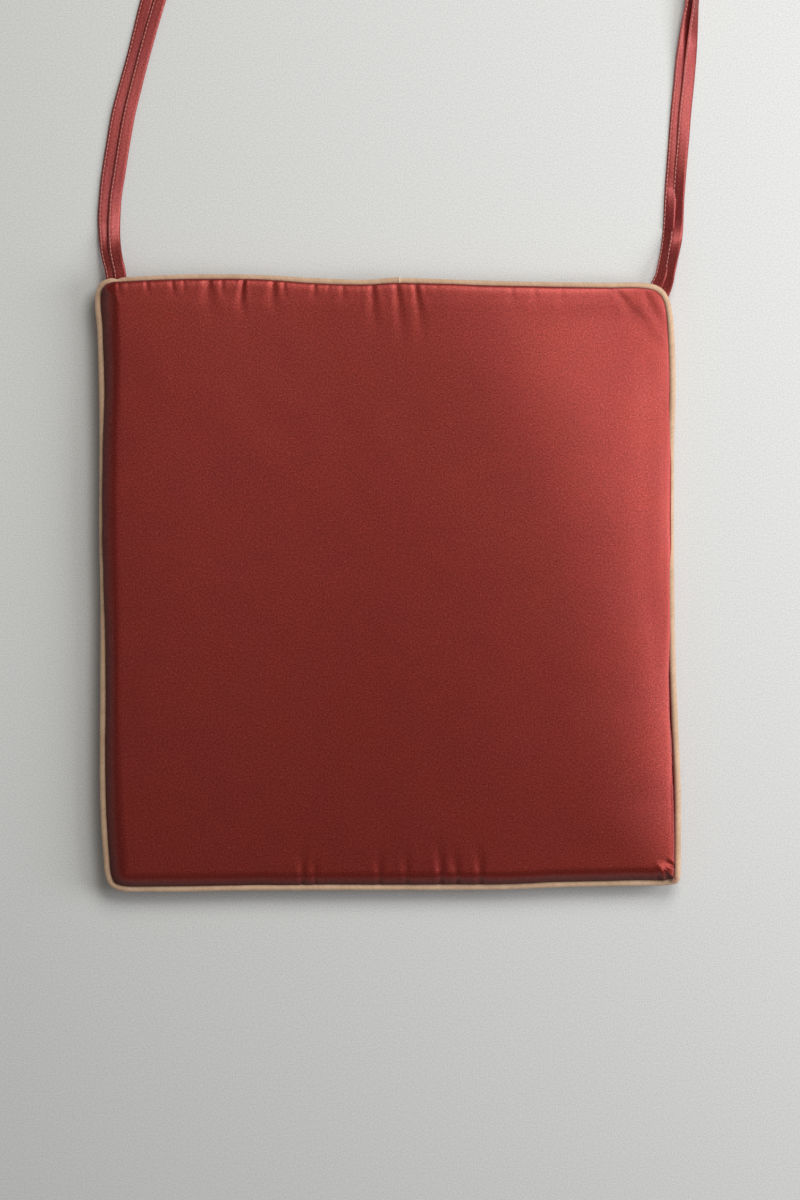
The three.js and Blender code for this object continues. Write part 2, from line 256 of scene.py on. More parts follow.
class NodeSheet:
    """A material's node tree with short ways to add and join nodes."""

    # A mix node has sockets for every type: these are its share, its two colours and its mixed colour.
    MIX_INPUTS = (0, 6, 7)
    MIX_OUTPUT = 2

    def __init__(self, name: str) -> None:
        """Starts an empty material of that name."""
        self.material = bpy.data.materials.new(name)
        self.material.use_nodes = True
        self.nodes = self.material.node_tree.nodes
        self.links = self.material.node_tree.links
        self.nodes.clear()
        self.shader = self.add("ShaderNodeBsdfPrincipled")
        output = self.add("ShaderNodeOutputMaterial")
        self.links.new(self.shader.outputs["BSDF"], output.inputs["Surface"])

    def add(self, kind: str, **settings: object) -> bpy.types.Node:
        """Adds a node and sets its properties."""
        node = self.nodes.new(kind)
        for key, value in settings.items():
            setattr(node, key, value)
        return node

    def put(self, socket: bpy.types.NodeSocket, value: object) -> None:
        """Links a socket to another one, or sets its value."""
        if isinstance(value, bpy.types.NodeSocket):
            self.links.new(value, socket)
        else:
            socket.default_value = value

    def plug(self, node: bpy.types.Node, inputs: dict[str, object]) -> bpy.types.Node:
        """Sets or links a node's inputs; a socket is linked and anything else is a value."""
        for key, value in inputs.items():
            self.put(node.inputs[key], value)
        return node

    def cloth_place(self) -> bpy.types.NodeSocket:
        """The place on the flat cloth."""
        return self.add("ShaderNodeAttribute", attribute_name="weave").outputs["Vector"]

    def object_place(self) -> bpy.types.NodeSocket:
        """The place in the part's frame."""
        return self.add("ShaderNodeTexCoord").outputs["Object"]

    def noise(
        self, place: bpy.types.NodeSocket, scale: Sequence[float], detail: float = 1.0
    ) -> bpy.types.NodeSocket:
        """Noise with its own number of lumps per metre along each axis."""
        mapping = self.plug(self.add("ShaderNodeMapping"), {"Vector": place, "Scale": tuple(scale)})
        texture = self.add("ShaderNodeTexNoise")
        self.plug(texture, {"Vector": mapping.outputs[0], "Scale": 1.0, "Detail": detail})
        return texture.outputs["Fac"]

    def ramp(
        self, value: bpy.types.NodeSocket, low: float, high: float, to_low: float, to_high: float
    ) -> bpy.types.NodeSocket:
        """Stretches a value from one range to another, clamped."""
        node = self.add("ShaderNodeMapRange", clamp=True)
        self.plug(node, {"Value": value, "From Min": low, "From Max": high})
        self.plug(node, {"To Min": to_low, "To Max": to_high})
        return node.outputs["Result"]

    def maths(self, operation: str, first: object, second: object) -> bpy.types.NodeSocket:
        """One arithmetic step on two values."""
        node = self.add("ShaderNodeMath", operation=operation)
        for socket, value in zip(node.inputs, (first, second)):
            self.put(socket, value)
        return node.outputs["Value"]

    def combine(self, channels: Sequence[bpy.types.NodeSocket]) -> bpy.types.NodeSocket:
        """Joins a red, a green and a blue value into a colour."""
        node = self.add("ShaderNodeCombineColor")
        for socket, value in zip(node.inputs, channels):
            self.put(socket, value)
        return node.outputs["Color"]

    def blend(self, share: object, first: object, second: object, kind: str = "MIX") -> bpy.types.NodeSocket:
        """Mixes two colours by a share."""
        node = self.add("ShaderNodeMix", data_type="RGBA", blend_type=kind)
        for index, value in zip(self.MIX_INPUTS, (share, first, second)):
            self.put(node.inputs[index], (*value, 1.0) if isinstance(value, tuple) else value)
        return node.outputs[self.MIX_OUTPUT]

    def bump(self, height: bpy.types.NodeSocket, strength: float, distance: float) -> None:
        """Gives the shader a bump from a height."""
        node = self.add("ShaderNodeBump")
        self.plug(node, {"Height": height, "Strength": strength, "Distance": distance})
        self.links.new(node.outputs["Normal"], self.shader.inputs["Normal"])


@dataclass(frozen=True)
class WovenCotton:
    """Plain woven cotton: fine uneven threads both ways, soft mottling and a few pale flecks, with a painted
    shade beside the piping.
    """

    name: str
    colour: tuple[float, float, float]
    fleck: tuple[float, float, float]
    roughness: float
    satin: float
    thread: float = 0.00036
    slub: float = 0.0022
    polish: float = 0.27
    polish_roughness: float = 0.33
    gloss: float = 0.9
    relief: float = 0.25
    grain: float = 980.0
    contrast: tuple[float, float, float] = (0.30, 0.98, 0.98)
    # The colour factor at the darkest of the painted shade, and the mask value by which that painted shade
    # has taken away all the shine.
    crease_shade: float = 0.36
    painted_shade_matt: float = 0.8

    def build(self) -> bpy.types.Material:
        """Makes the material."""
        sheet = NodeSheet(self.name)
        place = sheet.cloth_place()
        fine, long = 1 / self.thread, 1 / self.slub
        warp = sheet.noise(place, (fine, long, 1.0))
        weft = sheet.noise(place, (long, fine, 1.0))
        threads = sheet.maths("ADD", warp, weft)
        grain = sheet.noise(place, (self.grain, self.grain, 1.0), 1.5)
        mottle = sheet.noise(place, (70.0, 70.0, 1.0), 3.0)
        cloud = sheet.noise(place, (24.0, 24.0, 1.0), 2.0)
        specks = sheet.noise(place, (700.0, 700.0, 1.0), 0.0)
        split = sheet.plug(sheet.add("ShaderNodeSeparateXYZ"), {"Vector": place})
        # The weave's third value is the mask of the painted shade beside the piping.
        depth = split.outputs["Z"]
        painted_crease_shade = sheet.ramp(depth, 0.0, 1.0, 1.0, self.crease_shade)
        lit_threads = sheet.ramp(threads, 0.7, 1.3, 0.86, 1.14)
        shade = sheet.maths("MULTIPLY", lit_threads, sheet.ramp(mottle, 0.3, 0.7, 0.97, 1.03))
        speckles = sheet.combine([
            sheet.maths("MULTIPLY", shade, sheet.ramp(grain, 0.28, 0.72, 1 - contrast, 1 + contrast))
            for contrast in self.contrast
        ])
        bluer = (self.colour[0] * 0.97, self.colour[1] * 0.95, self.colour[2] * 1.25)
        dyed = sheet.blend(sheet.ramp(cloud, 0.35, 0.65, 0.0, 1.0), self.colour, bluer)
        base = sheet.blend(1.0, dyed, speckles, "MULTIPLY")
        # Painted shade: the colour darkens beside the piping.
        base = sheet.blend(1.0, base, sheet.combine([painted_crease_shade] * 3), "MULTIPLY")
        flecked = sheet.blend(sheet.ramp(specks, 0.74, 0.84, 0.0, 0.5), base, self.fleck)
        relief = sheet.maths("ADD", threads, sheet.maths("MULTIPLY", grain, 0.6))
        smoothness = sheet.ramp(threads, 0.7, 1.3, self.roughness + 0.06, self.roughness - 0.06)
        # Within the painted shade the metallic and coat shine fade out and the cloth turns rougher, so the
        # band reads darker still.
        sheet.plug(sheet.shader, {
            "Base Color": flecked,
            "Roughness": sheet.maths("ADD", smoothness, sheet.ramp(depth, 0.0, self.painted_shade_matt, 0.0, 0.5)),
            "Metallic": sheet.ramp(depth, 0.0, self.painted_shade_matt, self.satin, 0.0),
            "Specular IOR Level": self.gloss,
            "Coat Weight": sheet.ramp(depth, 0.0, self.painted_shade_matt, self.polish, 0.0),
            "Coat Roughness": self.polish_roughness,
        })
        sheet.bump(relief, self.relief, 0.0002)
        return sheet.material


@dataclass(frozen=True)
class BiasStrip:
    """Matt cotton cut on the bias and wrapped round a cord: slanting ribs and a soft fuzz."""

    name: str
    light: tuple[float, float, float]
    dark: tuple[float, float, float]
    rib: float = 0.0011

    def build(self) -> bpy.types.Material:
        """Makes the material."""
        sheet = NodeSheet(self.name)
        place = sheet.cloth_place()
        slant = (0.0, 0.0, math.radians(38))
        turned = sheet.plug(sheet.add("ShaderNodeMapping"), {"Vector": place, "Rotation": slant})
        ribs = sheet.noise(turned.outputs[0], (1 / self.rib, 1 / (6 * self.rib), 1.0), 1.0)
        fuzz = sheet.noise(place, (3600.0, 3600.0, 1.0), 2.0)
        wear = sheet.noise(place, (60.0, 30.0, 1.0), 3.0)
        both = sheet.maths("ADD", ribs, fuzz)
        worn = sheet.ramp(wear, 0.35, 0.65, -0.15, 0.25)
        tone = sheet.maths("ADD", sheet.ramp(both, 0.75, 1.25, 0.15, 0.65), worn)
        sheet.plug(sheet.shader, {
            "Base Color": sheet.blend(tone, self.dark, self.light),
            "Roughness": sheet.ramp(both, 0.7, 1.3, 0.95, 0.82),
            "Specular IOR Level": 0.2,
            "Sheen Weight": 0.3,
            "Sheen Roughness": 0.5,
        })
        sheet.bump(both, 0.6, 0.0003)
        return sheet.material


@dataclass(frozen=True)
class FineGrain:
    """A plain material whose fine grain varies its tone, its roughness and its relief."""

    name: str
    colour: tuple[float, float, float]
    shade: float
    lumps: tuple[float, float, float]
    detail: float
    roughness: tuple[float, float]
    sheen: float
    relief: float
    relief_height: float = 0.0001

    def build(self) -> bpy.types.Material:
        """Makes the material."""
        sheet = NodeSheet(self.name)
        grain = sheet.noise(sheet.object_place(), self.lumps, self.detail)
        darker = tuple(self.shade * value for value in self.colour)
        sheet.plug(sheet.shader, {
            "Base Color": sheet.blend(grain, darker, self.colour),
            "Roughness": sheet.ramp(grain, 0.3, 0.7, *self.roughness),
            "Sheen Weight": self.sheen,
        })
        sheet.bump(grain, self.relief, self.relief_height)
        return sheet.material


def thread(name: str, colour: tuple[float, float, float]) -> FineGrain:
    """Twisted thread with a slight shine."""
    return FineGrain(
        name, colour, shade=0.65, lumps=(4200.0,) * 3, detail=1.0,
        roughness=(0.55, 0.4), sheen=0.3, relief=0.4,
    )


@dataclass(frozen=True)
class PlatedMetal:
    """Plated die-cast metal, a little dulled by handling."""

    name: str
    colour: tuple[float, float, float]

    def build(self) -> bpy.types.Material:
        """Makes the material."""
        sheet = NodeSheet(self.name)
        place = sheet.object_place()
        dull = sheet.noise(place, (700.0, 700.0, 700.0), 3.0)
        marks = sheet.noise(place, (6000.0, 400.0, 400.0), 1.0)
        darker = tuple(0.75 * value for value in self.colour)
        sheet.plug(sheet.shader, {
            "Base Color": sheet.blend(dull, darker, self.colour),
            "Metallic": 1.0,
            "Roughness": sheet.ramp(dull, 0.3, 0.7, 0.28, 0.45),
        })
        sheet.bump(marks, 0.08, 0.0001)
        return sheet.material


@dataclass(frozen=True)
class OpenFoam:
    """Upholstery foam with open cells, with painted shade in the cell pits."""

    name: str
    colour: tuple[float, float, float]

    def build(self) -> bpy.types.Material:
        """Makes the material."""
        sheet = NodeSheet(self.name)
        place = sheet.object_place()
        cells = sheet.add("ShaderNodeTexVoronoi")
        sheet.plug(cells, {"Vector": place, "Scale": 1100.0})
        yellowing = sheet.noise(place, (14.0, 14.0, 14.0), 2.0)
        # Painted shade: each cell is darker towards its middle, where the pore sinks in.
        pit_shade = sheet.ramp(cells.outputs["Distance"], 0.1, 0.7, 0.75, 1.0)
        aged = tuple(value * share for value, share in zip(self.colour, (0.97, 0.9, 0.75)))
        tint = sheet.blend(yellowing, self.colour, aged)
        sheet.plug(sheet.shader, {
            "Base Color": sheet.blend(1.0, tint, sheet.combine([pit_shade] * 3), "MULTIPLY"),
            "Roughness": sheet.ramp(cells.outputs["Distance"], 0.0, 0.6, 0.98, 0.88),
            "Specular IOR Level": 0.15,
        })
        sheet.bump(cells.outputs["Distance"], 0.7, 0.0006)
        return sheet.material


@dataclass(frozen=True)
class PaleFloor:
    """A plain pale matt surface with a very fine grain."""

    name: str
    colour: tuple[float, float, float]

    def build(self) -> bpy.types.Material:
        """Makes the material."""
        sheet = NodeSheet(self.name)
        grain = sheet.noise(sheet.object_place(), (1050.0, 1050.0, 1050.0), 1.5)
        darker = tuple(0.82 * value for value in self.colour)
        sheet.plug(sheet.shader, {
            "Base Color": sheet.blend(sheet.ramp(grain, 0.3, 0.7, 0.0, 1.0), darker, self.colour),
            "Roughness": sheet.ramp(grain, 0.3, 0.7, 0.9, 0.85),
            "Specular IOR Level": 0.2,
        })
        sheet.bump(grain, 0.05, 0.0001)
        return sheet.material


COVER_COTTON = WovenCotton(
    "cover_cotton", (0.30, 0.0196, 0.0095), (0.42, 0.11, 0.08), roughness=0.40, satin=0.70
)
# The straps' cloth is the cover's, painted a little lighter for the light that the folded straps catch.
TIE_COTTON_LIT = WovenCotton("tie_cotton", (0.33, 0.034, 0.026), (0.46, 0.14, 0.11), roughness=0.44, satin=0.6)
PIPING_COTTON = BiasStrip("piping_cotton", (0.90, 0.62, 0.43), (0.60, 0.37, 0.22))
FILLER_COTTON = BiasStrip("filler_cord", (0.80, 0.76, 0.66), (0.62, 0.57, 0.47))
TIE_THREAD = thread("tie_thread", (0.80, 0.30, 0.25))
LOOSE_YARN = thread("loose_yarn", (0.66, 0.30, 0.22))
# The lap's cut edge: the strip's cloth painted paler, a painted highlight where the edge catches the light.
RAW_EDGE_HIGHLIGHT = BiasStrip("piping_raw_edge_highlight", (1.0, 0.88, 0.72), (0.88, 0.70, 0.52))
ZIP_TAPE = FineGrain(
    "zip_tape", (0.20, 0.03, 0.024), shade=0.7, lumps=(1800.0, 500.0, 500.0), detail=1.0,
    roughness=(0.85, 0.7), sheen=0.2, relief=0.5, relief_height=0.0002,
)
ZIP_NYLON = FineGrain(
    "zip_teeth", (0.22, 0.035, 0.028), shade=0.85, lumps=(900.0,) * 3, detail=2.0,
    roughness=(0.45, 0.3), sheen=0.0, relief=0.1,
)
ZIP_METAL = PlatedMetal("zip_metal", (0.56, 0.54, 0.52))
FOAM = OpenFoam("foam", (0.80, 0.75, 0.62))
FLOOR = PaleFloor("pale_floor", (0.86, 0.86, 0.84))


class Side(Enum):
    """An edge of the pad, by the direction that it faces."""

    REAR = (0, 1)
    RIGHT = (1, 0)
    FRONT = (0, -1)
    LEFT = (-1, 0)


@dataclass(frozen=True)
class Gather:
    """A short fold that runs in from the seam, where the cloth was gathered by the stitches."""

    side: Side
    at: float
    reach: float
    depth: float
    width: float
    slant: float = 0.0


@dataclass
class Studio:
    """The camera straight above the pad, the floor and the lights."""

    view_length: float = 0.7815
    view_centre: tuple[float, float] = (0.0077, -0.0110)
    camera_height: float = 2.6
    sensor: float = 36.0
    floor_size: float = 6.0

    def build_camera(self) -> None:
        """Makes the camera that looks straight down."""
        data = bpy.data.cameras.new("camera")
        data.sensor_width = self.sensor
        data.lens = self.sensor * self.camera_height / self.view_length
        camera = bpy.data.objects.new("camera", data)
        camera.location = (*self.view_centre, self.camera_height)
        bpy.context.scene.collection.objects.link(camera)
        bpy.context.scene.camera = camera

    def build_floor(self) -> None:
        """Makes the floor."""
        half = self.floor_size / 2
        corners = [(-half, -half, 0), (half, -half, 0), (half, half, 0), (-half, half, 0)]
        floor = add_mesh("floor", np.array(corners), np.array([[0, 1, 2, 3]]), smooth=False)
        floor.data.materials.append(FLOOR.build())

    def add_area(
        self, name: str, place: Sequence[float], size: float, power: float, tint: Sequence[float]
    ) -> None:
        """Adds a soft square light that faces the pad's middle.

        Args:
            name: The light's name.
            place: Where it hangs.
            size: The length of its sides.
            power: Its power in watts.
            tint: Its colour.
        """
        data = bpy.data.lights.new(name, "AREA")
        data.size = size
        data.energy = power
        data.color = tint
        lamp = bpy.data.objects.new(name, data)
        lamp.location = place
        lamp.rotation_euler = (-Vector(place)).to_track_quat("-Z", "Y").to_euler()
        bpy.context.scene.collection.objects.link(lamp)

    def build_lights(self) -> None:
        """Makes a low key light from the right and rear, and a pale even sky."""
        self.add_area("low_right", (1.23, 0.0, 0.86), 0.8, 11.4, (0.95, 0.98, 1.03))
        self.add_area("high_rear", (0.43, 0.75, 1.23), 0.8, 11.3, (1.0, 1.0, 0.98))
        world = bpy.data.worlds.new("sky")
        world.use_nodes = True
        background = world.node_tree.nodes["Background"]
        background.inputs["Color"].default_value = (1.0, 0.98, 0.94, 1.0)
        background.inputs["Strength"].default_value = 0.165
        bpy.context.scene.world = world
        bpy.context.scene.view_settings.view_transform = "Standard"


@dataclass
class Rim:
    """The lines that the pad is sewn on: the piping's middle line and the seam just inside it."""

    spacing: float = 0.00092
    wander: float = 0.0007
    flop_depth: float = 0.0034
    flop_middle: float = 0.092
    flop_half: float = 0.072

    def __post_init__(self) -> None:
        """Works out the lines from the outline."""
        outer = smooth_line(RIM_POINTS, self.spacing, closed=True)
        normals = inward_normals(soften(outer, 3))
        self.piping = soften(outer + PIPING_RADIUS * normals, 2)
        self.seam = soften(self.piping + 0.85 * PIPING_RADIUS * inward_normals(soften(self.piping, 2)), 4)
        self.inward = inward_normals(soften(self.seam, 4))
        self.height = SEAM_HEIGHT + self.sway(self.seam)

    def sway(self, points: np.ndarray) -> np.ndarray:
        """How far the seam lies from its mean height: lowest where the right edge flops down."""
        right = np.clip((points[:, 0] - 0.150) / 0.020, 0, 1)
        flop = right * np.exp(-((points[:, 1] - self.flop_middle) / self.flop_half) ** 6)
        return self.wander * value_noise(points, 0.07, 5) - self.flop_depth * flop

    def side_point(self, side: Side, at: float) -> tuple[np.ndarray, np.ndarray]:
        """The seam point on one side at a place along it.

        Args:
            side: Which edge.
            at: Its x on the rear and front edges, its y on the others.

        Returns:
            The point and the inward direction there.
        """
        facing = self.inward @ np.array(side.value, float) < -0.6
        coordinate = self.seam[:, 0] if side in (Side.REAR, Side.FRONT) else self.seam[:, 1]
        index = np.argmin(np.where(facing, np.abs(coordinate - at), 9.0))
        return self.seam[index], self.inward[index]

    def nearest(self, points: np.ndarray) -> tuple[np.ndarray, np.ndarray]:
        """Each plan point's distance to the seam and the number of the nearest seam vertex."""
        distance = np.empty(len(points))
        index = np.empty(len(points), int)
        block = 4000
        for start in range(0, len(points), block):
            gap = points[start:start + block, None, :] - self.seam[None, :, :]
            squared = (gap**2).sum(axis=2)
            index[start:start + block] = squared.argmin(axis=1)
            distance[start:start + block] = np.sqrt(squared.min(axis=1))
        return distance, index


@dataclass(frozen=True)
class ZipFrame:
    """Where the zip lies: its own x runs along the rear edge, its own y points outwards."""

    origin: tuple[float, float] = (-0.00594, 0.19305)
    along: tuple[float, float] = (0.999896, -0.014414)
    slot_length: float = 0.304
    slot_middle: float = 0.0078
    slot_height: float = 0.0088
    tape_depth: float = -0.0050

    def to_local(self, points: np.ndarray) -> np.ndarray:
        """Turns points in the part's frame into the zip's own."""
        offset = points[:, :2] - np.array(self.origin)
        across = np.array([-self.along[1], self.along[0]])
        return np.column_stack([offset @ np.array(self.along), offset @ across, points[:, 2]])

    def to_world(self, points: np.ndarray) -> np.ndarray:
        """Turns points in the zip's own frame into the part's."""
        across = np.array([-self.along[1], self.along[0]])
        plan = np.array(self.origin) + points[:, :1] * np.array(self.along) + points[:, 1:2] * across
        return np.column_stack([plan, points[:, 2]])


ZIP_FRAME = ZipFrame()


@dataclass(frozen=True)
class Wall:
    """The side of the cover: its width seen from above, how steep its foot is and how flat its top end."""

    width: float
    square: float
    roundness: float = 3.0


@dataclass
class CoverPanel:
    """One panel of the cover: a steep wall up from the seam, a tight round and a nearly flat face."""

    name: str
    node: str
    rim: Rim
    up: int
    rise: float
    walls: dict[Side, Wall]
    gathers: Sequence[Gather]
    gathering: float = 0.44
    swell: float = 0.0010
    seam_groove: float = 0.00055
    # Width of the painted shade band beside the piping.
    painted_shade_width: float = 0.0022
    droop: float = 0.0
    hollow: float = 0.0
    corner_drop: float = 0.0
    hollow_centre: float = -0.057
    hollow_half: float = 0.150
    closed_middle: float = 0.052
    closed_half: float = 0.090
    overlap: float = 0.0012
    bulges: Sequence[tuple[Side, float, float, float]] = ()

    HALF_SIZE = 0.1865
    WALL_RINGS = 24
    FACE_RINGS = 22

    def insets(self) -> np.ndarray:
        """How far each ring of vertices lies inside the seam: close on the wall, wider on the face."""
        wall = max(side.width for side in self.walls.values())
        turn = np.linspace(0, math.pi / 2, self.WALL_RINGS)
        steep = wall * (1 - np.cos(turn) ** (2 / 3))
        spread = np.linspace(0, 1, self.FACE_RINGS + 1)[1:] ** 1.6
        return np.concatenate([steep, wall + (0.95 * self.HALF_SIZE - wall) * spread])

    def side_share(self, index: np.ndarray) -> dict[Side, np.ndarray]:
        """How much each point belongs to each side, by the way the nearest seam faces."""
        outward = -self.rim.inward[index]
        return {side: np.clip(outward @ np.array(side.value, float), 0, 1) ** 2 for side in Side}

    def front_half(self, plan: np.ndarray) -> np.ndarray:
        """How far each point lies into the front half of the pad, from 0 to 1."""
        return np.clip((0.0 - plan[:, 1]) / 0.06, 0, 1)

    def wall_width(self, plan: np.ndarray, share: dict[Side, np.ndarray]) -> np.ndarray:
        """The width of the rounded wall at each point."""
        width = sum(share[side] * self.walls[side].width for side in Side)
        return width * (1 - 0.58 * share[Side.RIGHT] * self.front_half(plan))

    def left_fullness(self, plan: np.ndarray, share: dict[Side, np.ndarray]) -> np.ndarray:
        """How much wider the left wall's rounding grows towards its corners."""
        rear = 0.3 * np.clip((plan[:, 1] - 0.10) / 0.08, 0, 1)
        front = 0.3 * np.clip((-0.08 - plan[:, 1]) / 0.09, 0, 1)
        return 1 + share[Side.LEFT] * (rear + front)

    def wall_square(self, plan: np.ndarray, share: dict[Side, np.ndarray]) -> np.ndarray:
        """How square the wall's shoulder is at each point: squarest at the right edge's front half."""
        square = sum(share[side] * self.walls[side].square for side in Side)
        return square * (1 + 3.5 * share[Side.RIGHT] * self.front_half(plan))

    def groove(self, plan: np.ndarray, share: dict[Side, np.ndarray]) -> np.ndarray:
        """Width of the groove between the cloth and the piping: widest at the right edge's front half."""
        front = self.front_half(plan) * (1 + 0.5 * value_noise(plan, 0.017, 41))
        return self.seam_groove * (1 + share[Side.RIGHT] * (1.3 * front - self.closed(plan)))

    def closed(self, plan: np.ndarray) -> np.ndarray:
        """How far the cloth closes over the piping at each point, from 0 to 1, for the right edge."""
        return np.exp(-((plan[:, 1] - self.closed_middle) / self.closed_half) ** 6)

    def face_height(self, points: np.ndarray) -> np.ndarray:
        """Slow rise and fall of the face, as a change of height."""
        start = np.interp(points[:, 1], DROOP_PLACES, DROOP_STARTS)
        depth = self.droop * np.interp(points[:, 1], DROOP_PLACES, DROOP_SHARES)
        right = np.clip((points[:, 0] - start) / (0.183 - start), 0, 1)
        waves = 0.00012 * value_noise(points, 0.055, 11) + 0.00006 * value_noise(points, 0.021, 12)
        across = np.clip((points[:, 0] - self.hollow_centre) / self.hollow_half, -1, 1)
        rear = np.clip(points[:, 1] / 0.18, 0, 1)
        dish = -self.hollow * (0.5 + 0.5 * np.cos(math.pi * across)) + 0.8 * self.hollow * (rear**2 - 1)
        corner = np.clip((-0.1755 - points[:, 0]) / 0.010, 0, 1)
        corner *= np.clip((points[:, 1] - 0.165) / 0.012, 0, 1)
        return waves - depth * right**3.0 + dish - self.corner_drop * corner

    def height_at(
        self, plan: np.ndarray, distance: np.ndarray, index: np.ndarray, below: float
    ) -> np.ndarray:
        """The height of the smooth panel, or of a surface held the same distance inside it.

        Args:
            plan: Points seen from above.
            distance: Each point's distance to the seam.
            index: The number of the seam vertex nearest to each point.
            below: How far inside the panel the surface lies.

        Returns:
            One height for each point.
        """
        share = self.side_share(index)
        width = self.wall_width(plan, share) * self.left_fullness(plan, share)
        groove = np.clip(self.groove(plan, share), 0.00002, None)
        t = np.clip((distance - below - groove) / width, 0, 1)
        roundness = np.maximum(sum(share[side] * self.walls[side].roundness for side in Side), 1.2)
        climb = (1 - (1 - t) ** roundness) ** (1 / np.maximum(self.wall_square(plan, share), 1.2))
        dip = 1.6 * groove * np.sin(math.pi * np.clip(distance / groove, 0, 1))
        seam_height = self.rim.height[index] - self.up * dip
        top = SEAM_HEIGHT + self.up * (self.rise - below + self.face_height(plan))
        return seam_height + (top - seam_height) * climb

    def small_gathers(self) -> list[Gather]:
        """The many little puckers that the seam leaves along the front and rear edges."""
        if self.up < 0:
            return []
        random = np.random.default_rng(8)
        puckers = []
        for side in (Side.REAR, Side.FRONT):
            at = -0.178
            while at < 0.176:
                strong = (0.1 + 0.9 * random.uniform(0, 1) ** 1.8) * (1.0 if side is Side.REAR else 0.7)
                strong *= 0.45 if at > 0.045 else 1.0
                reach = random.uniform(0.004, 0.011)
                puckers.append(Gather(side, at, reach, 0.00034 * strong, random.uniform(0.0010, 0.0016)))
                at += random.uniform(0.0028, 0.0120)
        return puckers

    def gather_lift(self, points: np.ndarray, distance: np.ndarray) -> np.ndarray:
        """How far the gathers push the cloth out along its normal."""
        lift = np.zeros(len(points))
        for gather in [*self.gathers, *self.small_gathers()]:
            start, inward = self.rim.side_point(gather.side, gather.at)
            along = np.array([inward[1], -inward[0]])
            if along @ np.array((1.0, 1.0)) < 0:
                along = -along
            line = inward * gather.reach + along * gather.slant
            line_length = np.linalg.norm(line)
            line = line / line_length
            offset = points - start
            run = offset @ line
            across = np.abs(offset @ np.array([-line[1], line[0]]))
            near = (run > -0.004) & (run < line_length) & (across < 5 * gather.width)
            share = np.clip(run[near] / line_length, 0, 1)
            width = gather.width * (0.6 + 0.9 * share)
            fade = (1 - share) ** 1.5 * (1 + 1.5 * share)
            valley = np.exp(-(across[near] / width) ** 2)
            ridge = 0.16 * np.exp(-((across[near] - 1.7 * width) / (0.8 * width)) ** 2)
            lift[near] += self.gathering * gather.depth * fade * (ridge - valley)
        return lift * np.clip(distance / 0.0025, 0.15, 1)

    def push_out(self, plan: np.ndarray, distance: np.ndarray, index: np.ndarray) -> np.ndarray:
        """How far the full wall stands out over the seam.

        Args:
            plan: Points seen from above.
            distance: Each point's distance to the seam.
            index: The number of the seam vertex nearest to each point.

        Returns:
            One distance for each point.
        """
        share = self.side_share(index)
        bulge = self.swell + 0.0003 * value_noise(self.rim.seam[index], 0.016, 31)
        bulge -= 0.0010 * share[Side.RIGHT] * self.front_half(plan)
        for side, start, end, amount in self.bulges:
            coordinate = plan[:, 1] if side in (Side.LEFT, Side.RIGHT) else plan[:, 0]
            middle, half = (start + end) / 2, (end - start) / 2
            bulge += share[side] * amount * np.exp(-np.abs((coordinate - middle) / half) ** 4)
        reach = np.clip(distance / np.maximum(1.5 * self.wall_width(plan, share), 0.012), 0, 1) ** 0.6
        profile = 1.3 * np.sin(math.pi * reach) * (1 - reach**2)
        overlap = self.overlap * share[Side.RIGHT] * self.closed(plan) * np.clip(1 - distance / 0.006, 0, 1)
        return bulge * profile + overlap * (self.up > 0)

    def painted_crease_shade(self, plan: np.ndarray, distance: np.ndarray, share: dict[Side, np.ndarray]) -> np.ndarray:
        """How strongly each point takes the painted shade beside the piping, from 0 to 1.

        Args:
            plan: Points seen from above.
            distance: Each point's distance to the seam.
            share: How much each point belongs to each side.

        Returns:
            One painted shade strength for each point.
        """
        hidden = share[Side.RIGHT] * (0.6 * self.front_half(plan) - 0.5 - 0.45 * self.closed(plan))
        painted_shade_reach = self.painted_shade_width * (1 + 1.9 * share[Side.FRONT] + 2.4 * share[Side.LEFT] + hidden)
        shadowed = share[Side.FRONT] + share[Side.LEFT]
        return (0.75 + 0.25 * shadowed) * np.clip(1 - (distance / painted_shade_reach) ** (1 + shadowed), 0, 1)

    def build(self) -> bpy.types.Object:
        """Builds the panel and dresses it."""
        around = len(self.rim.seam)
        scale = 1 - self.insets() / self.HALF_SIZE
        sewn = (self.rim.seam[None] * scale[:, None, None]).reshape(-1, 2)
        distance, index = self.rim.nearest(sewn)
        share = self.side_share(index)
        inward = self.rim.inward[index]
        plan = sewn - inward * self.push_out(sewn, distance, index)[:, None]
        points = np.column_stack([plan, self.height_at(sewn, distance, index, 0.0)])
        normals = self.ring_normals(points.reshape(len(scale), -1, 3)).reshape(-1, 3)
        points = points + normals * self.gather_lift(plan, distance)[:, None]
        points[:, :2] += inward * self.recess(points)[:, None]
        last = (len(scale) - 1) * around
        faces = grid_faces(len(scale), around, wrap=True).tolist()
        faces += [[last + step, last + (step + 1) % around, len(points)] for step in range(around)]
        if self.up < 0:
            faces = [face[::-1] for face in faces]
        panel = add_mesh(self.name, np.vstack([points, (0.0, 0.0, points[-1, 2])]), faces)
        excess = 0.55 * np.clip(self.wall_width(sewn, share) - distance, 0, None)
        flat = np.vstack([plan - inward * excess[:, None], (0.0, 0.0)])
        # The weave's third value carries the painted shade beside the piping.
        set_weave(panel, np.column_stack([flat, np.append(self.painted_crease_shade(plan, distance, share), 0)]))
        dress(panel, COVER_COTTON, self.node)
        return panel

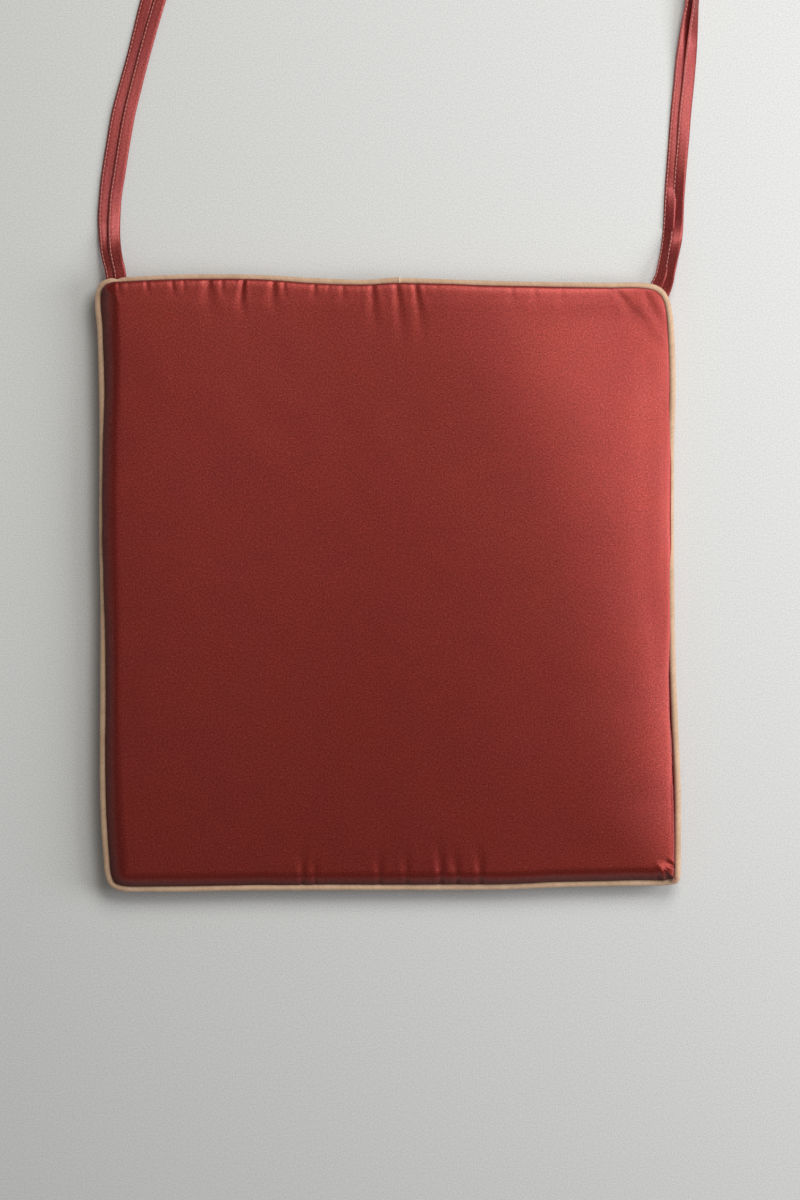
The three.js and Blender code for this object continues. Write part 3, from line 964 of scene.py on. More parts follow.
    def recess(self, points: np.ndarray) -> np.ndarray:
        """How far each point steps in to leave room for the zip."""
        if self.up > 0:
            return np.zeros(len(points))
        place = ZIP_FRAME.to_local(points)
        past_end = np.abs(place[:, 0]) - ZIP_FRAME.slot_length / 2
        past_lip = np.abs(points[:, 2] - ZIP_FRAME.slot_middle) - ZIP_FRAME.slot_height / 2
        inside = np.clip(-np.maximum(past_end / 4, past_lip) / 0.0007, 0, 1)
        facing_rear = place[:, 1] > -0.012
        behind = np.clip(place[:, 1] - ZIP_FRAME.tape_depth + 0.0006, 0, None)
        return inside * facing_rear * behind

    def ring_normals(self, rings: np.ndarray) -> np.ndarray:
        """Outward unit normals of a stack of rings."""
        around = np.roll(rings, -1, axis=1) - np.roll(rings, 1, axis=1)
        inwards = np.gradient(rings, axis=0)
        normals = self.up * np.cross(around, inwards)
        length = np.linalg.norm(normals, axis=2)[:, :, None]
        return normals / np.maximum(length, 1e-12)


@dataclass
class FoamCore:
    """The foam slab inside the cover, a little smaller than it all round."""

    top: CoverPanel
    bottom: CoverPanel
    clearance: float = 0.0014
    edge: float = 0.0042
    rings: int = 40

    def build(self) -> None:
        """Builds the slab as two faces that meet along its edge."""
        rim = self.top.rim
        spread = np.linspace(0, 1, self.rings) ** 1.7
        scale = 1 - (self.edge + (0.94 * self.top.HALF_SIZE - self.edge) * spread) / self.top.HALF_SIZE
        outline = rim.seam[::3]
        plan = (outline[None] * scale[:, None, None]).reshape(-1, 2)
        distance, index = rim.nearest(plan)
        zip_room = 0.0075 * self.near_zip(plan) * np.clip(1 - (distance - self.edge) / 0.03, 0, 1)
        plan = plan + rim.inward[index] * zip_room[:, None]
        distance, index = rim.nearest(plan)
        layers = []
        for panel in (self.top, self.bottom):
            height = panel.height_at(plan, distance, index, self.clearance)
            valley = np.clip(-panel.gather_lift(plan, distance), 0, None)
            layers.append(np.column_stack([plan, height - panel.up * 1.3 * valley]))
        count = len(outline)
        upper = grid_faces(self.rings, count, wrap=True)
        lower = upper[:, ::-1] + len(plan)
        edge = [
            [step, len(plan) + step, len(plan) + (step + 1) % count, (step + 1) % count]
            for step in range(count)
        ]
        middle = np.arange(len(plan) - count, len(plan))
        caps = [middle.tolist(), (middle + len(plan))[::-1].tolist()]
        foam = add_mesh("foam_slab", np.vstack(layers), upper.tolist() + lower.tolist() + edge + caps)
        dress(foam, FOAM, "foam_core")

    def near_zip(self, plan: np.ndarray) -> np.ndarray:
        """Whether each point lies by the zip, with soft ends."""
        place = ZIP_FRAME.to_local(np.column_stack([plan, plan[:, 0]]))
        ends = np.clip((ZIP_FRAME.slot_length / 2 + 0.006 - np.abs(place[:, 0])) / 0.004, 0, 1)
        return ends * (place[:, 1] > -0.05)


@dataclass
class Piping:
    """The beige piping: a bias strip round a cord, its ends lapped at the middle of the rear edge."""

    rim: Rim
    joint_at: float = 0.0077
    fold_at: tuple[float, float] = (-0.1805, 0.1968)
    yarn_at: tuple[float, float] = (0.1848, -0.1912)
    yarn_ends: int = 15
    yarn_radius: float = 0.00027
    cord_radius: float = 0.0012
    lap_length: float = 0.016
    tuck_length: float = 0.006
    sides: int = 16

    def line(self) -> np.ndarray:
        """The piping's middle line, from the joint round the pad and back."""
        facing = self.rim.piping[:, 1] > 0.15
        start = int(np.argmin(np.where(facing, np.abs(self.rim.piping[:, 0] - self.joint_at), 9.0)))
        height = SEAM_HEIGHT + self.rim.sway(self.rim.piping)
        notch = 0.0012 * np.exp(-((self.rim.piping[:, 0] - self.fold_at[0] - 0.0050) / 0.0026) ** 2) * facing
        line = np.column_stack([self.rim.piping[:, 0], self.rim.piping[:, 1] - notch, height])
        line = np.roll(line, -start, axis=0)
        return np.vstack([line, line[:2]])

    def build_sleeve(self) -> None:
        """Builds the bias strip."""
        line = self.line()
        along = distance_along(line)
        radius = PIPING_RADIUS * (1 + 0.035 * value_noise(np.column_stack([along, 0 * along]), 0.009, 21))
        lap = np.clip(1 - along / self.lap_length, 0, 1)
        radius *= 1 + 0.14 * lap
        tuck = np.clip(1 - (along[-1] - along) / self.tuck_length, 0, 1)
        radius *= 1 - 0.18 * tuck
        line[:, 1] += 0.0002 * lap
        sleeve = sweep_round("piping_sleeve", line, radius, self.sides, capped=True)
        dress(sleeve, PIPING_COTTON, "piping_sleeve")

    def build_folds(self) -> None:
        """Builds the raw edge of the lap and the pinched fold at the rear left corner."""
        line = self.line()
        lap_radius = np.full(2, 1.45 * PIPING_RADIUS)
        lap = sweep_round("piping_lap_edge", line[:2], lap_radius, self.sides, capped=False)
        corner = int(np.argmin(np.linalg.norm(line[:, :2] - np.array(self.fold_at), axis=1)))
        reach = 12
        bend = line[corner:corner + reach][::-1].copy()
        share = np.linspace(0, 1, reach)
        bend[:, 2] += 0.0009 * share
        bend += np.outer(share**2, np.array([0.0010, 0.0016, 0.0006]))
        radius = PIPING_RADIUS * (1.04 - 0.85 * share**3)
        fold = sweep_round("piping_corner_fold", bend, radius, self.sides, capped=True)
        # The lap edge takes the paler cloth that paints a highlight on it.
        for piece, finish in ((lap, RAW_EDGE_HIGHLIGHT), (fold, PIPING_COTTON), (self.frayed_ends(), LOOSE_YARN)):
            dress(piece, finish)

    def frayed_ends(self) -> bpy.types.Object:
        """Builds the loose yarn ends that stand out of the seam at the front right corner."""
        random = np.random.default_rng(3)
        share = np.linspace(0, 1, 9)
        turn = full_turn(5)
        yarns = []
        for _ in range(self.yarn_ends):
            heading = random.uniform(-2.3, 0.9)
            reach = random.uniform(0.0016, 0.0036)
            curl = random.uniform(-0.9, 0.9)
            angle = heading + curl * share
            step = reach / (len(share) - 1)
            middle = np.column_stack([
                self.yarn_at[0] + np.cumsum(np.cos(angle)) * step + random.uniform(-0.0011, 0.0006),
                self.yarn_at[1] + np.cumsum(np.sin(angle)) * step + random.uniform(-0.0008, 0.0008),
                SEAM_HEIGHT + 0.0026 + 0.0012 * np.sin(math.pi * share) * random.uniform(0.6, 1.3),
            ])
            size = self.yarn_radius * (1 - 0.5 * share)
            across = np.column_stack([-np.sin(angle), np.cos(angle), 0 * angle])
            ring = middle[:, None] + size[:, None, None] * across[:, None] * np.cos(turn)[None, :, None]
            ring[..., 2] += size[:, None] * np.sin(turn)[None]
            yarns.append(ring)
        return add_tubes("frayed_yarn_ends", np.array(yarns))

    def build_cord(self) -> None:
        """Builds the filler cord inside the strip."""
        line = self.line()[3:-3]
        cord = sweep_round("piping_cord", line, np.full(len(line), self.cord_radius), 8, capped=True)
        dress(cord, FILLER_COTTON, "piping_cord")


def line_frames(line: np.ndarray, roll: np.ndarray | None = None) -> tuple[np.ndarray, np.ndarray]:
    """Left and up directions along an open line that never stands upright.

    Args:
        line: The line's points.
        roll: How far both directions turn about the line at each point, in radians.

    Returns:
        The left and the up direction at each point.
    """
    tangent = np.gradient(line, axis=0)
    tangent /= np.linalg.norm(tangent, axis=1)[:, None]
    left = np.cross(np.array([0.0, 0.0, 1.0]), tangent)
    left /= np.linalg.norm(left, axis=1)[:, None]
    up = np.cross(tangent, left)
    if roll is None:
        return left, up
    cosine, sine = np.cos(roll)[:, None], np.sin(roll)[:, None]
    return left * cosine + up * sine, up * cosine - left * sine


def sweep_section(
    name: str, line: np.ndarray, section: np.ndarray, roll: np.ndarray | None = None
) -> bpy.types.Object:
    """Sweeps a closed section along a line and closes both ends.

    Args:
        name: The object's name.
        line: The line's points.
        section: The section's points, left and up, one set for each point of the line.
        roll: How far the section turns about the line at each point, in radians.

    Returns:
        The new object, with its weave places set.
    """
    left, up = line_frames(line, roll)
    points = line[:, None] + left[:, None] * section[..., :1] + up[:, None] * section[..., 1:]
    piece = add_tubes(name, points[None])
    along = distance_along(line)
    loop = np.linalg.norm(np.diff(section[0], axis=0, append=section[0][:1]), axis=1)
    around = np.concatenate([[0], np.cumsum(loop)[:-1]])
    weave = np.stack(np.broadcast_arrays(along[:, None], around[None]), axis=2).reshape(-1, 2)
    set_weave(piece, np.column_stack([weave, np.zeros(len(weave))]))
    return piece


def sweep_round(
    name: str, line: np.ndarray, radius: np.ndarray, sides: int, capped: bool
) -> bpy.types.Object:
    """Sweeps a round section along a line.

    Args:
        name: The object's name.
        line: The line's points.
        radius: The radius at each point.
        sides: Number of sides of the section.
        capped: Whether the ends are rounded over.

    Returns:
        The new object.
    """
    angle = full_turn(sides)
    ring = np.column_stack([np.cos(angle), np.sin(angle)])
    reach = radius.copy()
    if capped:
        reach[0] *= 0.7
        reach[-1] *= 0.7
    return sweep_section(name, line, ring[None] * reach[:, None, None])


@dataclass
class Strap:
    """One tie strap: cotton folded in four, edge stitched, from the seam to its free end."""

    name: str
    node: str
    body: str
    route: Sequence[tuple[float, float]]
    heights: Sequence[float]
    root: Sequence[Sequence[float]]
    hinge: tuple[float, float, float]
    rolls: Sequence[tuple[float, float]]
    width: float = 0.0082
    thickness: float = 0.0013
    stitch_inset: float = 0.0012
    stitch_length: float = 0.0025
    stitch_gap: float = 0.00035
    stitch_radius: float = 0.00031
    stitch_rise: float = 0.00022
    spacing: float = 0.0012
    bend_before: float = 0.004
    bend_after: float = 0.006

    def line(self) -> np.ndarray:
        """The strap's middle line, from under the piping to the free end."""
        last = len(self.heights) - 1
        route = [(*place, self.heights[min(step, last)]) for step, place in enumerate(self.route)]
        line = smooth_line([*self.root, *route], self.spacing, closed=False)
        standing = 0.0008 + self.width / 2 * np.abs(np.sin(self.roll_at(line)))
        line[:, 2] = np.where(line[:, 1] > self.hinge[1] + 0.03, np.maximum(line[:, 2], standing), line[:, 2])
        return line

    def roll_at(self, line: np.ndarray) -> np.ndarray:
        """How far the strap turns about its length, by its distance behind the pad."""
        places, angles = zip(*self.rolls)
        return np.radians(np.interp(line[:, 1], places, angles))

    def section(self, count: int) -> np.ndarray:
        """The folded strap's section: full rounded edges and a dip along the row of stitches."""
        half = self.width / 2
        sides = 13
        across = half * np.cos(np.linspace(0, math.pi, sides))
        edge = np.clip(1 - (np.abs(across) / half) ** 6, 0, 1) ** 0.5
        dip = 1 - 0.28 * np.exp(-((across - half + self.stitch_inset) / 0.0005) ** 2)
        swell = 1 + 0.12 * np.exp(-((np.abs(across) - 0.8 * half) / 0.0008) ** 2)
        rise = self.thickness / 2 * edge * swell
        upper = np.column_stack([across, rise * dip])
        lower = np.column_stack([across[::-1], -rise[::-1]])[1:-1]
        outline = np.vstack([upper, lower])
        return np.repeat(outline[None], count, axis=0)

    def build(self) -> None:
        line = self.line()
        section = self.section(len(line))
        wander = 1 + 0.02 * value_noise(line[:, :2], 0.012, len(self.name))
        section[..., 0] *= wander[:, None]
        taper = np.clip(np.arange(len(line))[::-1] / 1.5 + 0.35, 0, 1)
        section[..., 1] *= taper[:, None]
        strap = sweep_section(self.name, line, section, self.roll_at(line))
        strap.data.materials.append(TIE_COTTON_LIT.build())
        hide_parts(self.node)
        stitches = self.build_stitches(line)
        for piece in (strap, stitches):
            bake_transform(piece)
        LOG.info("built %s", strap.name)

    def build_stitches(self, line: np.ndarray) -> bpy.types.Object:
        """Builds the row of edge stitches as one piece."""
        left, up = line_frames(line, self.roll_at(line))
        row = line + left * (self.width / 2 - self.stitch_inset) + up * (0.42 * self.thickness)
        along = distance_along(row)
        pitch = self.stitch_length + self.stitch_gap
        bare_end = 0.002
        angle = full_turn(6)
        share = np.linspace(0, 1, 5)
        arch = np.sin(math.pi * share)
        thick = self.stitch_radius * (0.35 + 0.65 * arch**0.5)
        tubes = []
        for number in range(int((along[-1] - 2 * bare_end) / pitch)):
            at = bare_end + number * pitch + self.stitch_length * share
            middle, sideways, upward = (
                np.stack([np.interp(at, along, values[:, axis]) for axis in range(3)], axis=1)
                for values in (row, left, up)
            )
            middle = middle + upward * (self.stitch_rise * arch)[:, None]
            across = sideways[:, None] * np.cos(angle)[None, :, None]
            ring = middle[:, None] + thick[:, None, None] * (
                across + upward[:, None] * np.sin(angle)[None, :, None]
            )
            tubes.append(ring)
        stitches = add_tubes(f"{self.name}_stitches", np.array(tubes))
        stitches.data.materials.append(TIE_THREAD.build())
        return stitches


# The way each strap lies, seen from above, and how it comes down from the seam to rest on the surface.
UPPER_HEIGHTS = (0.0122, 0.0112, 0.0085, 0.0052, 0.0032, 0.0026)
LOWER_HEIGHTS = (0.0100, 0.0085, 0.0056, 0.0025, 0.0011, 0.0009)
LEFT_UPPER_ROUTE = (
    (-0.1744, 0.2034), (-0.1758, 0.2090), (-0.1772, 0.2160), (-0.1782, 0.2260), (-0.1782, 0.2380),
    (-0.1773, 0.2520), (-0.1748, 0.2680), (-0.1720, 0.2860), (-0.1686, 0.3050), (-0.1640, 0.3240),
    (-0.1591, 0.3430), (-0.1538, 0.3620), (-0.1484, 0.3800), (-0.1416, 0.3990), (-0.1330, 0.4180),
    (-0.1226, 0.4360), (-0.1106, 0.4530), (-0.0974, 0.4690), (-0.0846, 0.4826),
)
LEFT_LOWER_ROUTE = (
    (-0.1798, 0.2034), (-0.1814, 0.2090), (-0.1830, 0.2160), (-0.1842, 0.2260), (-0.1848, 0.2380),
    (-0.1840, 0.2520), (-0.1823, 0.2680), (-0.1794, 0.2860), (-0.1761, 0.3050), (-0.1712, 0.3240),
    (-0.1660, 0.3430), (-0.1614, 0.3620), (-0.1569, 0.3800), (-0.1506, 0.3990), (-0.1424, 0.4180),
    (-0.1324, 0.4370), (-0.1208, 0.4550), (-0.1080, 0.4720), (-0.0978, 0.4840),
)
RIGHT_UPPER_ROUTE = (
    (0.1822, 0.1994), (0.1834, 0.2050), (0.1850, 0.2130), (0.1870, 0.2240), (0.1882, 0.2360),
    (0.1890, 0.2520), (0.1900, 0.2680), (0.1916, 0.2860), (0.1930, 0.3050), (0.1950, 0.3240),
    (0.1969, 0.3430), (0.1986, 0.3620), (0.2001, 0.3800), (0.2010, 0.3990), (0.2006, 0.4180),
    (0.1984, 0.4380), (0.1940, 0.4580), (0.1876, 0.4770), (0.1814, 0.4910),
)
RIGHT_LOWER_ROUTE = (
    (0.1768, 0.1994), (0.1782, 0.2050), (0.1800, 0.2130), (0.1818, 0.2240), (0.1828, 0.2360),
    (0.1838, 0.2520), (0.1850, 0.2680), (0.1863, 0.2860), (0.1878, 0.3050), (0.1896, 0.3240),
    (0.1913, 0.3430), (0.1936, 0.3620), (0.1959, 0.3800), (0.1964, 0.3990), (0.1944, 0.4180),
    (0.1904, 0.4380), (0.1846, 0.4570), (0.1772, 0.4760), (0.1706, 0.4900),
)


# How far the straps lean over at places along their length: distance behind the pad's middle, and degrees.
LEFT_ROLLS = (
    (0.200, 0.0), (0.207, -9.0), (0.215, -4.0), (0.222, 9.0), (0.245, 8.0), (0.270, 4.0), (0.310, 6.0),
    (0.340, 2.0), (0.370, -2.0), (0.400, 0.0),
)
RIGHT_UPPER_ROLLS = (
    (0.185, -8.0), (0.200, -34.0), (0.210, -32.0), (0.2235, -4.0), (0.2385, -26.0), (0.256, -22.0),
    (0.272, -10.0), (0.300, 2.0), (0.320, 6.0), (0.340, 16.0), (0.358, 38.0), (0.375, 58.0),
    (0.395, 58.0), (0.425, 25.0), (0.450, 0.0),
)
RIGHT_LOWER_ROLLS = (
    (0.185, -8.0), (0.200, -30.0), (0.235, -28.0), (0.247, -14.0), (0.257, -1.0), (0.268, -7.0),
    (0.290, -1.0), (0.320, 5.0), (0.340, 14.0), (0.358, 32.0), (0.375, 52.0), (0.395, 54.0),
    (0.425, 25.0), (0.450, 0.0),
)


@dataclass
class Ties:
    """The four straps and their sewn-in roots."""

    def build(self) -> None:
        """Builds every strap and both roots."""
        left_hinge = (-0.177, 0.2034, 0.011)
        right_hinge = (0.179, 0.1994, 0.011)
        straps = (
            Strap("left_tie_upper_strap", "left_tie_upper", "left_ties", LEFT_UPPER_ROUTE, UPPER_HEIGHTS,
                  ((-0.1735, 0.1965, 0.0114),), left_hinge, LEFT_ROLLS),
            Strap("left_tie_lower_strap", "left_tie_lower", "left_ties", LEFT_LOWER_ROUTE, LOWER_HEIGHTS,
                  ((-0.1788, 0.1962, 0.0098),), left_hinge, LEFT_ROLLS),
            Strap("right_tie_upper_strap", "right_tie_upper", "right_ties", RIGHT_UPPER_ROUTE, UPPER_HEIGHTS,
                  ((0.1752, 0.1800, 0.0112), (0.1792, 0.1895, 0.0113), (0.1812, 0.1950, 0.0119)),
                  right_hinge, RIGHT_UPPER_ROLLS),
            Strap("right_tie_lower_strap", "right_tie_lower", "right_ties", RIGHT_LOWER_ROUTE, LOWER_HEIGHTS,
                  ((0.1690, 0.1850, 0.0098), (0.1732, 0.1915, 0.0098)), right_hinge, RIGHT_LOWER_ROLLS),
        )
        for strap in straps:
            strap.build()
        self.build_root("left", np.array([(-0.1765, 0.1880, 0.0105), (-0.1765, 0.1974, 0.0105)]), 0.0140)
        self.build_root("right", np.array([(0.1722, 0.1790, 0.0104), (0.1757, 0.1868, 0.0104)]), 0.0108)

    def build_root(self, side: str, ends: np.ndarray, width: float) -> None:
        """Builds the folded ends that are sewn into the seam.

        Args:
            side: Left or right.
            ends: The middle of the inner and outer ends.
            width: Width across both straps.
        """
        steps = 9
        line = ends[0] + np.linspace(0, 1, steps)[:, None] * (ends[1] - ends[0])
        turn = full_turn(24)
        across = rounded(np.cos(turn), 0.5) * width / 2
        up = rounded(np.sin(turn), 0.8) * 0.0010
        section = np.repeat(np.column_stack([across, up])[None], steps, axis=0)
        section[[0, -1]] *= 0.8
        root = sweep_section(f"{side}_tie_root_ends", line, section)
        dress(root, TIE_COTTON_LIT, f"{side}_tie_root")


# The top sinks towards its right edge, more and from further in nearer the rear corner.
DROOP_PLACES = (-0.185, -0.141, -0.076, -0.011, 0.054, 0.119, 0.171, 0.190)
DROOP_STARTS = (0.150, 0.118, 0.100, 0.090, 0.078, 0.060, 0.022, 0.010)
DROOP_SHARES = (0.05, 0.32, 0.52, 0.66, 0.80, 0.98, 0.90, 0.80)

# Each gather's place along its edge, its reach, depth and width, and the slant of those that lean.
GATHERS = {
    Side.REAR: (
        (-0.1740, 0.012, 0.0006, 0.0020), (-0.1557, 0.010, 0.0006, 0.0016),
        (-0.1388, 0.013, 0.0006, 0.0017), (-0.1317, 0.011, 0.0005, 0.0016),
        (-0.1167, 0.030, 0.0008, 0.0042), (-0.1076, 0.012, 0.0006, 0.0016),
        (-0.0932, 0.025, 0.0016, 0.0022, -0.003), (-0.0743, 0.022, 0.0010, 0.0030),
        (-0.0665, 0.012, 0.0006, 0.0016), (-0.0476, 0.013, 0.0005, 0.0020),
        (-0.0294, 0.014, 0.0005, 0.0020), (-0.0105, 0.034, 0.0008, 0.0030),
        (0.0052, 0.044, 0.0008, 0.0030, 0.004), (0.0165, 0.040, 0.0008, 0.0026, 0.008),
        (0.0793, 0.014, 0.0004, 0.0024), (0.0943, 0.014, 0.0004, 0.0024),
        (0.1119, 0.016, 0.0004, 0.0026), (0.1458, 0.052, 0.0007, 0.0034, 0.040),
        (0.1640, 0.036, 0.0006, 0.0032, 0.022),
    ),
    Side.FRONT: (
        (-0.1690, 0.010, 0.0008, 0.0018), (-0.0553, 0.025, 0.0018, 0.0023),
        (-0.0474, 0.021, 0.0014, 0.0022), (-0.0060, 0.025, 0.0016, 0.0025),
        (0.0115, 0.025, 0.0015, 0.0026), (0.0338, 0.030, 0.0021, 0.0026),
        (0.0450, 0.025, 0.0018, 0.0026, -0.002), (0.0594, 0.029, 0.0019, 0.0028),
        (0.1790, 0.013, -0.0040, 0.0017, -0.004),
    ),
    Side.RIGHT: (
        (-0.1830, 0.009, 0.0024, 0.0014, 0.004),
    ),
}
TOP_GATHERS = tuple(Gather(side, *values) for side, group in GATHERS.items() for values in group)


@dataclass
class Cover:
    """The two panels of the cover."""

    rim: Rim

    def build(self) -> None:
        top = CoverPanel(
            "cover_top", "cover_top_panel", self.rim, up=1, rise=0.0135,
            walls={
                Side.REAR: Wall(0.0070, 12.0), Side.RIGHT: Wall(0.0120, 6.0),
                Side.FRONT: Wall(0.0085, 1.35, 1.6), Side.LEFT: Wall(0.0086, 1.3, 1.6),
            },
            gathers=TOP_GATHERS, droop=0.0158, hollow=0.0026, corner_drop=0.0035,
            bulges=((Side.LEFT, -0.03, 0.11, 0.0022), (Side.RIGHT, -0.05, 0.14, 0.0016)),
        )
        bottom = CoverPanel(
            "cover_bottom", "cover_bottom_panel", self.rim, up=-1, rise=0.0137,
            walls={side: Wall(0.010, 2.6) for side in Side}, gathers=(),
            bulges=((Side.LEFT, -0.03, 0.11, 0.0015), (Side.RIGHT, -0.05, 0.14, 0.0012)),
        )
        for panel in (top, bottom):
            panel.build()
        FoamCore(top, bottom).build()


@dataclass
class Zip:
    """The zip in the rear edge: two tapes, two rows of coil teeth, end stops, slider and pull."""

    half_length: float = 0.150
    teeth_start: float = -0.1425
    teeth_end: float = 0.1415
    pitch: float = 0.0015
    middle: float = 0.0080
    tape_at: float = -0.0046
    slider_at: float = -0.1365
    slider_depth: float = -0.0035
    pin_depth: float = -0.00036
    pull_length: float = 0.0200
    pull_width: float = 0.0046
    tape_half_width: float = 0.0016
    tooth_radius: float = 0.00030
    tooth_reach: float = 0.0015
    stop_radius: float = 0.00062
    slider_half_length: float = 0.0045

    def build(self) -> None:
        """Builds every part of the zip."""
        for row, sign in (("upper", 1), ("lower", -1)):
            self.build_tape(row, sign)
            self.build_teeth(row, sign)
        self.build_stop("left", self.teeth_start - 0.0007)
        self.build_stop("right", self.teeth_end + 0.0007)
        self.build_slider()
        self.build_pull()

    def build_tape(self, row: str, sign: int) -> None:
        """Builds one woven tape with a thicker edge where the teeth are sewn on.

        Args:
            row: Upper or lower.
            sign: 1 for the upper row, -1 for the lower one.
        """
        count = 220
        along = np.linspace(-self.half_length, self.half_length, count)
        wave = 0.00008 * np.sin(along * 2 * math.pi / 0.0016)
        height = np.full(count, self.middle + sign * 0.0032)
        line = ZIP_FRAME.to_world(np.column_stack([along, self.tape_at + wave, height]))
        turn = -full_turn(20)
        up = np.cos(turn) * self.tape_half_width
        near_teeth = np.clip(-sign * up / self.tape_half_width, 0, 1)
        out = np.sin(turn) * (0.00022 + 0.00022 * near_teeth)
        section = np.repeat(np.column_stack([out, up])[None], count, axis=0)
        tape = sweep_section(f"zip_tape_{row}_woven", line, section)
        dress(tape, ZIP_TAPE, f"zip_tape_{row}")

    def build_teeth(self, row: str, sign: int) -> None:
        """Builds one row of coil teeth, half a pitch out of step with the other row.

        Args:
            row: Upper or lower.
            sign: 1 for the upper row, -1 for the lower one.
        """
        turn = full_turn(6)
        share = np.linspace(0, 1, 7)
        reach = self.middle + sign * (self.tooth_reach - 0.00155 * share)
        depth = self.tape_at + 0.00015 + 0.0006 * np.sin(math.pi * share) ** 0.6
        head = 0.85 + 0.5 * np.clip((share - 0.55) / 0.3, 0, 1)
        radius = self.tooth_radius * head * np.clip((1 - share) * 6 + 0.35, 0, 1)
        first = self.teeth_start + (0.25 if sign > 0 else 0.75) * self.pitch
        count = int((self.teeth_end - self.teeth_start) / self.pitch)
        coil = np.empty((count, len(share), len(turn), 3))
        for number in range(count):
            at = first + number * self.pitch + 0.00018 * sign * (share - 0.5)
            coil[number, ..., 0] = at[:, None] + radius[:, None] * np.cos(turn)
            coil[number, ..., 1] = depth[:, None] + radius[:, None] * np.sin(turn)
            coil[number, ..., 2] = reach[:, None]
        placed = ZIP_FRAME.to_world(coil.reshape(-1, 3)).reshape(coil.shape)
        teeth = add_tubes(f"zip_teeth_{row}_coil", placed, mirrored=sign > 0)
        dress(teeth, ZIP_NYLON, f"zip_teeth_{row}")

    def build_stop(self, side: str, at: float) -> None:
        """Builds a metal stop clenched round both rows at one end.

        Args:
            side: Left or right.
            at: The stop's place along the zip.
        """
        share = np.linspace(-1, 1, 9)
        depth = self.tape_at + 0.0007 - 0.0005 * share**4
        line = np.column_stack([np.full(len(share), at), depth, self.middle + self.tooth_reach * share])
        turn = full_turn(12)
        size = self.stop_radius * np.clip(1.15 - share**8, 0.3, 1)
        ring = np.column_stack([np.cos(turn), np.sin(turn), 0 * turn])
        points = line[:, None] + ring[None] * size[:, None, None]
        placed = ZIP_FRAME.to_world(points.reshape(-1, 3)).reshape(1, *points.shape)
        stop = add_tubes(f"zip_stop_{side}_clip", placed)
        dress(stop, ZIP_METAL, f"zip_stop_{side}")

    def build_slider(self) -> None:
        """Builds the slider's shield-shaped body, its arched bridge and the pin for the pull."""
        turn = full_turn(48)
        reach = rounded(np.cos(turn), 0.6) * self.slider_half_length
        half = 0.0030 - 0.00085 * np.clip(reach / self.slider_half_length, 0, 1) ** 1.2
        rise = rounded(np.sin(turn), 0.6) * half
        layers = (
            (-0.0007, 0.0), (-0.0007, 0.86), (-0.0005, 1.0), (0.0003, 1.0), (0.00058, 0.94), (0.0007, 0.82),
            (0.00074, 0.0),
        )
        shield = np.vstack([
            np.column_stack([
                self.slider_at + scale * reach,
                np.full(len(turn), self.slider_depth + depth),
                self.middle + scale * rise,
            ])
            for depth, scale in layers
        ])
        faces = grid_faces(len(layers), len(turn), wrap=True).tolist()
        arch = np.linspace(0, math.pi, 15)
        bridge = np.column_stack([
            self.slider_at - 0.0004 - 0.0026 * np.cos(arch),
            self.slider_depth + 0.0006 + (self.pin_depth - self.slider_depth - 0.0004) * np.sin(arch) ** 0.7,
            np.full(len(arch), self.middle),
        ])
        tangent = np.gradient(bridge, axis=0)
        tangent /= np.linalg.norm(tangent, axis=1)[:, None]
        side = np.cross(tangent, np.array([0.0, 0.0, 1.0]))
        spin = full_turn(10)
        tube = bridge[:, None] + 0.00034 * side[:, None] * np.cos(spin)[None, :, None]
        tube[..., 2] += 0.0008 * np.sin(spin)[None]
        faces += (grid_faces(len(arch), len(spin), wrap=True) + len(shield)).tolist()
        points = ZIP_FRAME.to_world(np.vstack([shield, tube.reshape(-1, 3)]))
        slider = add_mesh("zip_slider_body", points, [face[::-1] for face in faces])
        dress(slider, ZIP_METAL, "zip_slider", "zip_slider")

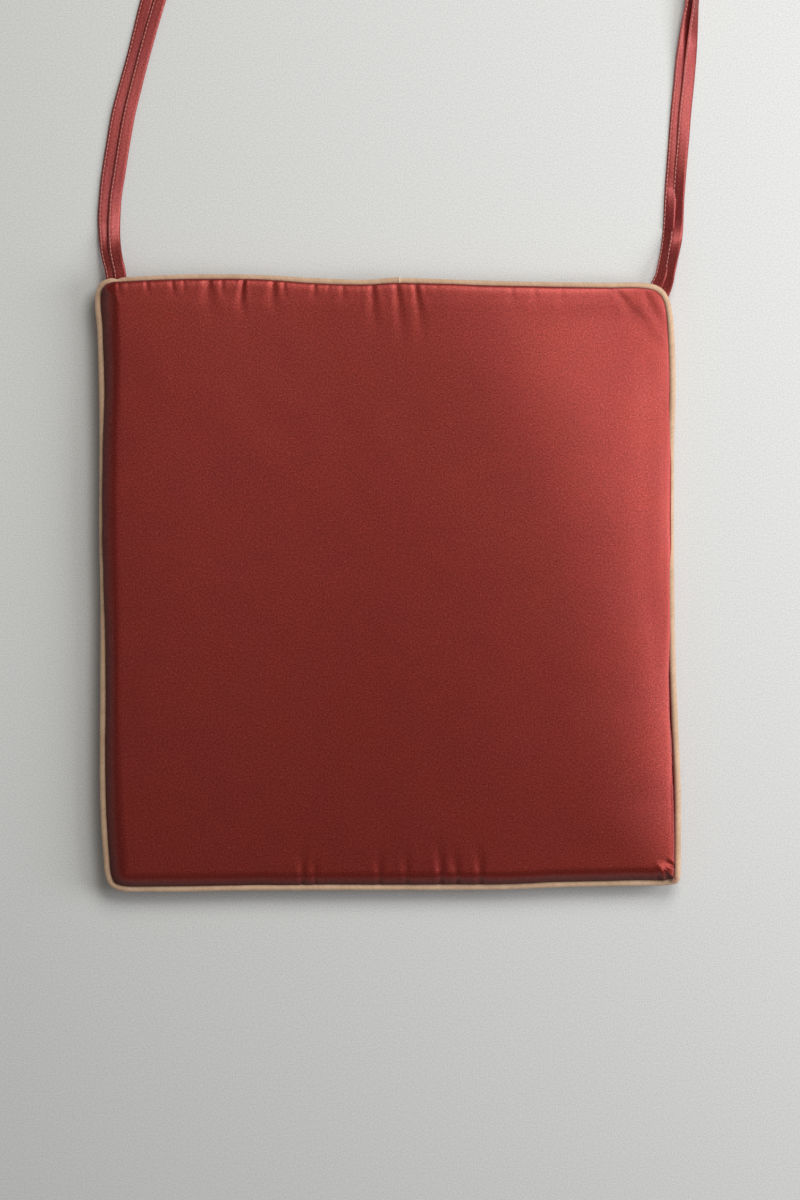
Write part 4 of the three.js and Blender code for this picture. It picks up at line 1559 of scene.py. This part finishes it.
    def closed_loops(self, loops: int, columns: int, base: int = 0) -> list[list[int]]:
        """Faces of loops of vertices of which the last one joins the first.

        Args:
            loops: Number of loops.
            columns: Number of vertices in each loop.
            base: The number of the first vertex.

        Returns:
            The faces, turned outwards.
        """
        last = (loops - 1) * columns
        faces = grid_faces(loops, columns, wrap=True).tolist()
        faces += [
            [last + step, last + (step + 1) % columns, (step + 1) % columns, step]
            for step in range(columns)
        ]
        return [[base + vertex for vertex in face[::-1]] for face in faces]

    def build_pull(self) -> None:
        """Builds the pull: a flat tongue with a slot near its end and an eye round the pin."""
        turn = full_turn(40)
        start, stop = 0.0016, self.pull_length
        middle, half = (start + stop) / 2, (stop - start) / 2
        long = rounded(np.cos(turn), 0.55)
        wide = rounded(np.sin(turn), 0.55)
        outer = np.column_stack([middle + half * long, (0.5 * self.pull_width - 0.0004 * (1 - long)) * wide])
        inner = np.column_stack([middle + 0.0025 + 0.42 * half * long, 0.24 * self.pull_width * wide])
        profile = ((0.0, -0.0004), (-0.00006, -0.0002), (-0.00006, 0.0002), (0.0, 0.0004))
        loops = [(outer * (1 - grow / half), depth) for grow, depth in profile]
        loops += [(inner, depth) for _, depth in reversed(profile)]
        plate = np.vstack([
            np.column_stack([loop[:, 0], np.full(len(turn), depth), loop[:, 1]]) for loop, depth in loops
        ])
        around, tube = full_turn(24), full_turn(8)
        eye_radius, eye_wire = 0.0010, 0.00032
        eye = np.empty((len(around), len(tube), 3))
        eye[..., 0] = np.cos(around)[:, None] * (eye_radius + eye_wire * np.cos(tube))
        eye[..., 1] = np.sin(around)[:, None] * (eye_radius + eye_wire * np.cos(tube))
        eye[..., 2] = 0.0009 * np.sin(tube)[None]
        faces = self.closed_loops(len(loops), len(turn))
        faces += self.closed_loops(len(around), len(tube), base=len(plate))
        points = np.vstack([plate, eye.reshape(-1, 3)])
        points += np.array([self.slider_at, self.pin_depth, self.middle])
        pull = add_mesh("zip_pull_tongue", ZIP_FRAME.to_world(points), faces)
        dress(pull, ZIP_METAL, "zip_pull", "zip_pull")


def main() -> None:
    """Builds the studio and every part of the pad."""
    logging.basicConfig(level=logging.INFO, format="%(name)s: %(message)s")
    studio = Studio()
    studio.build_camera()
    Ties().build()
    rim = Rim()
    Cover(rim).build()
    piping = Piping(rim)
    piping.build_sleeve()
    piping.build_folds()
    piping.build_cord()
    Zip().build()
    studio.build_floor()
    studio.build_lights()


if __name__ == "__main__":
    main()
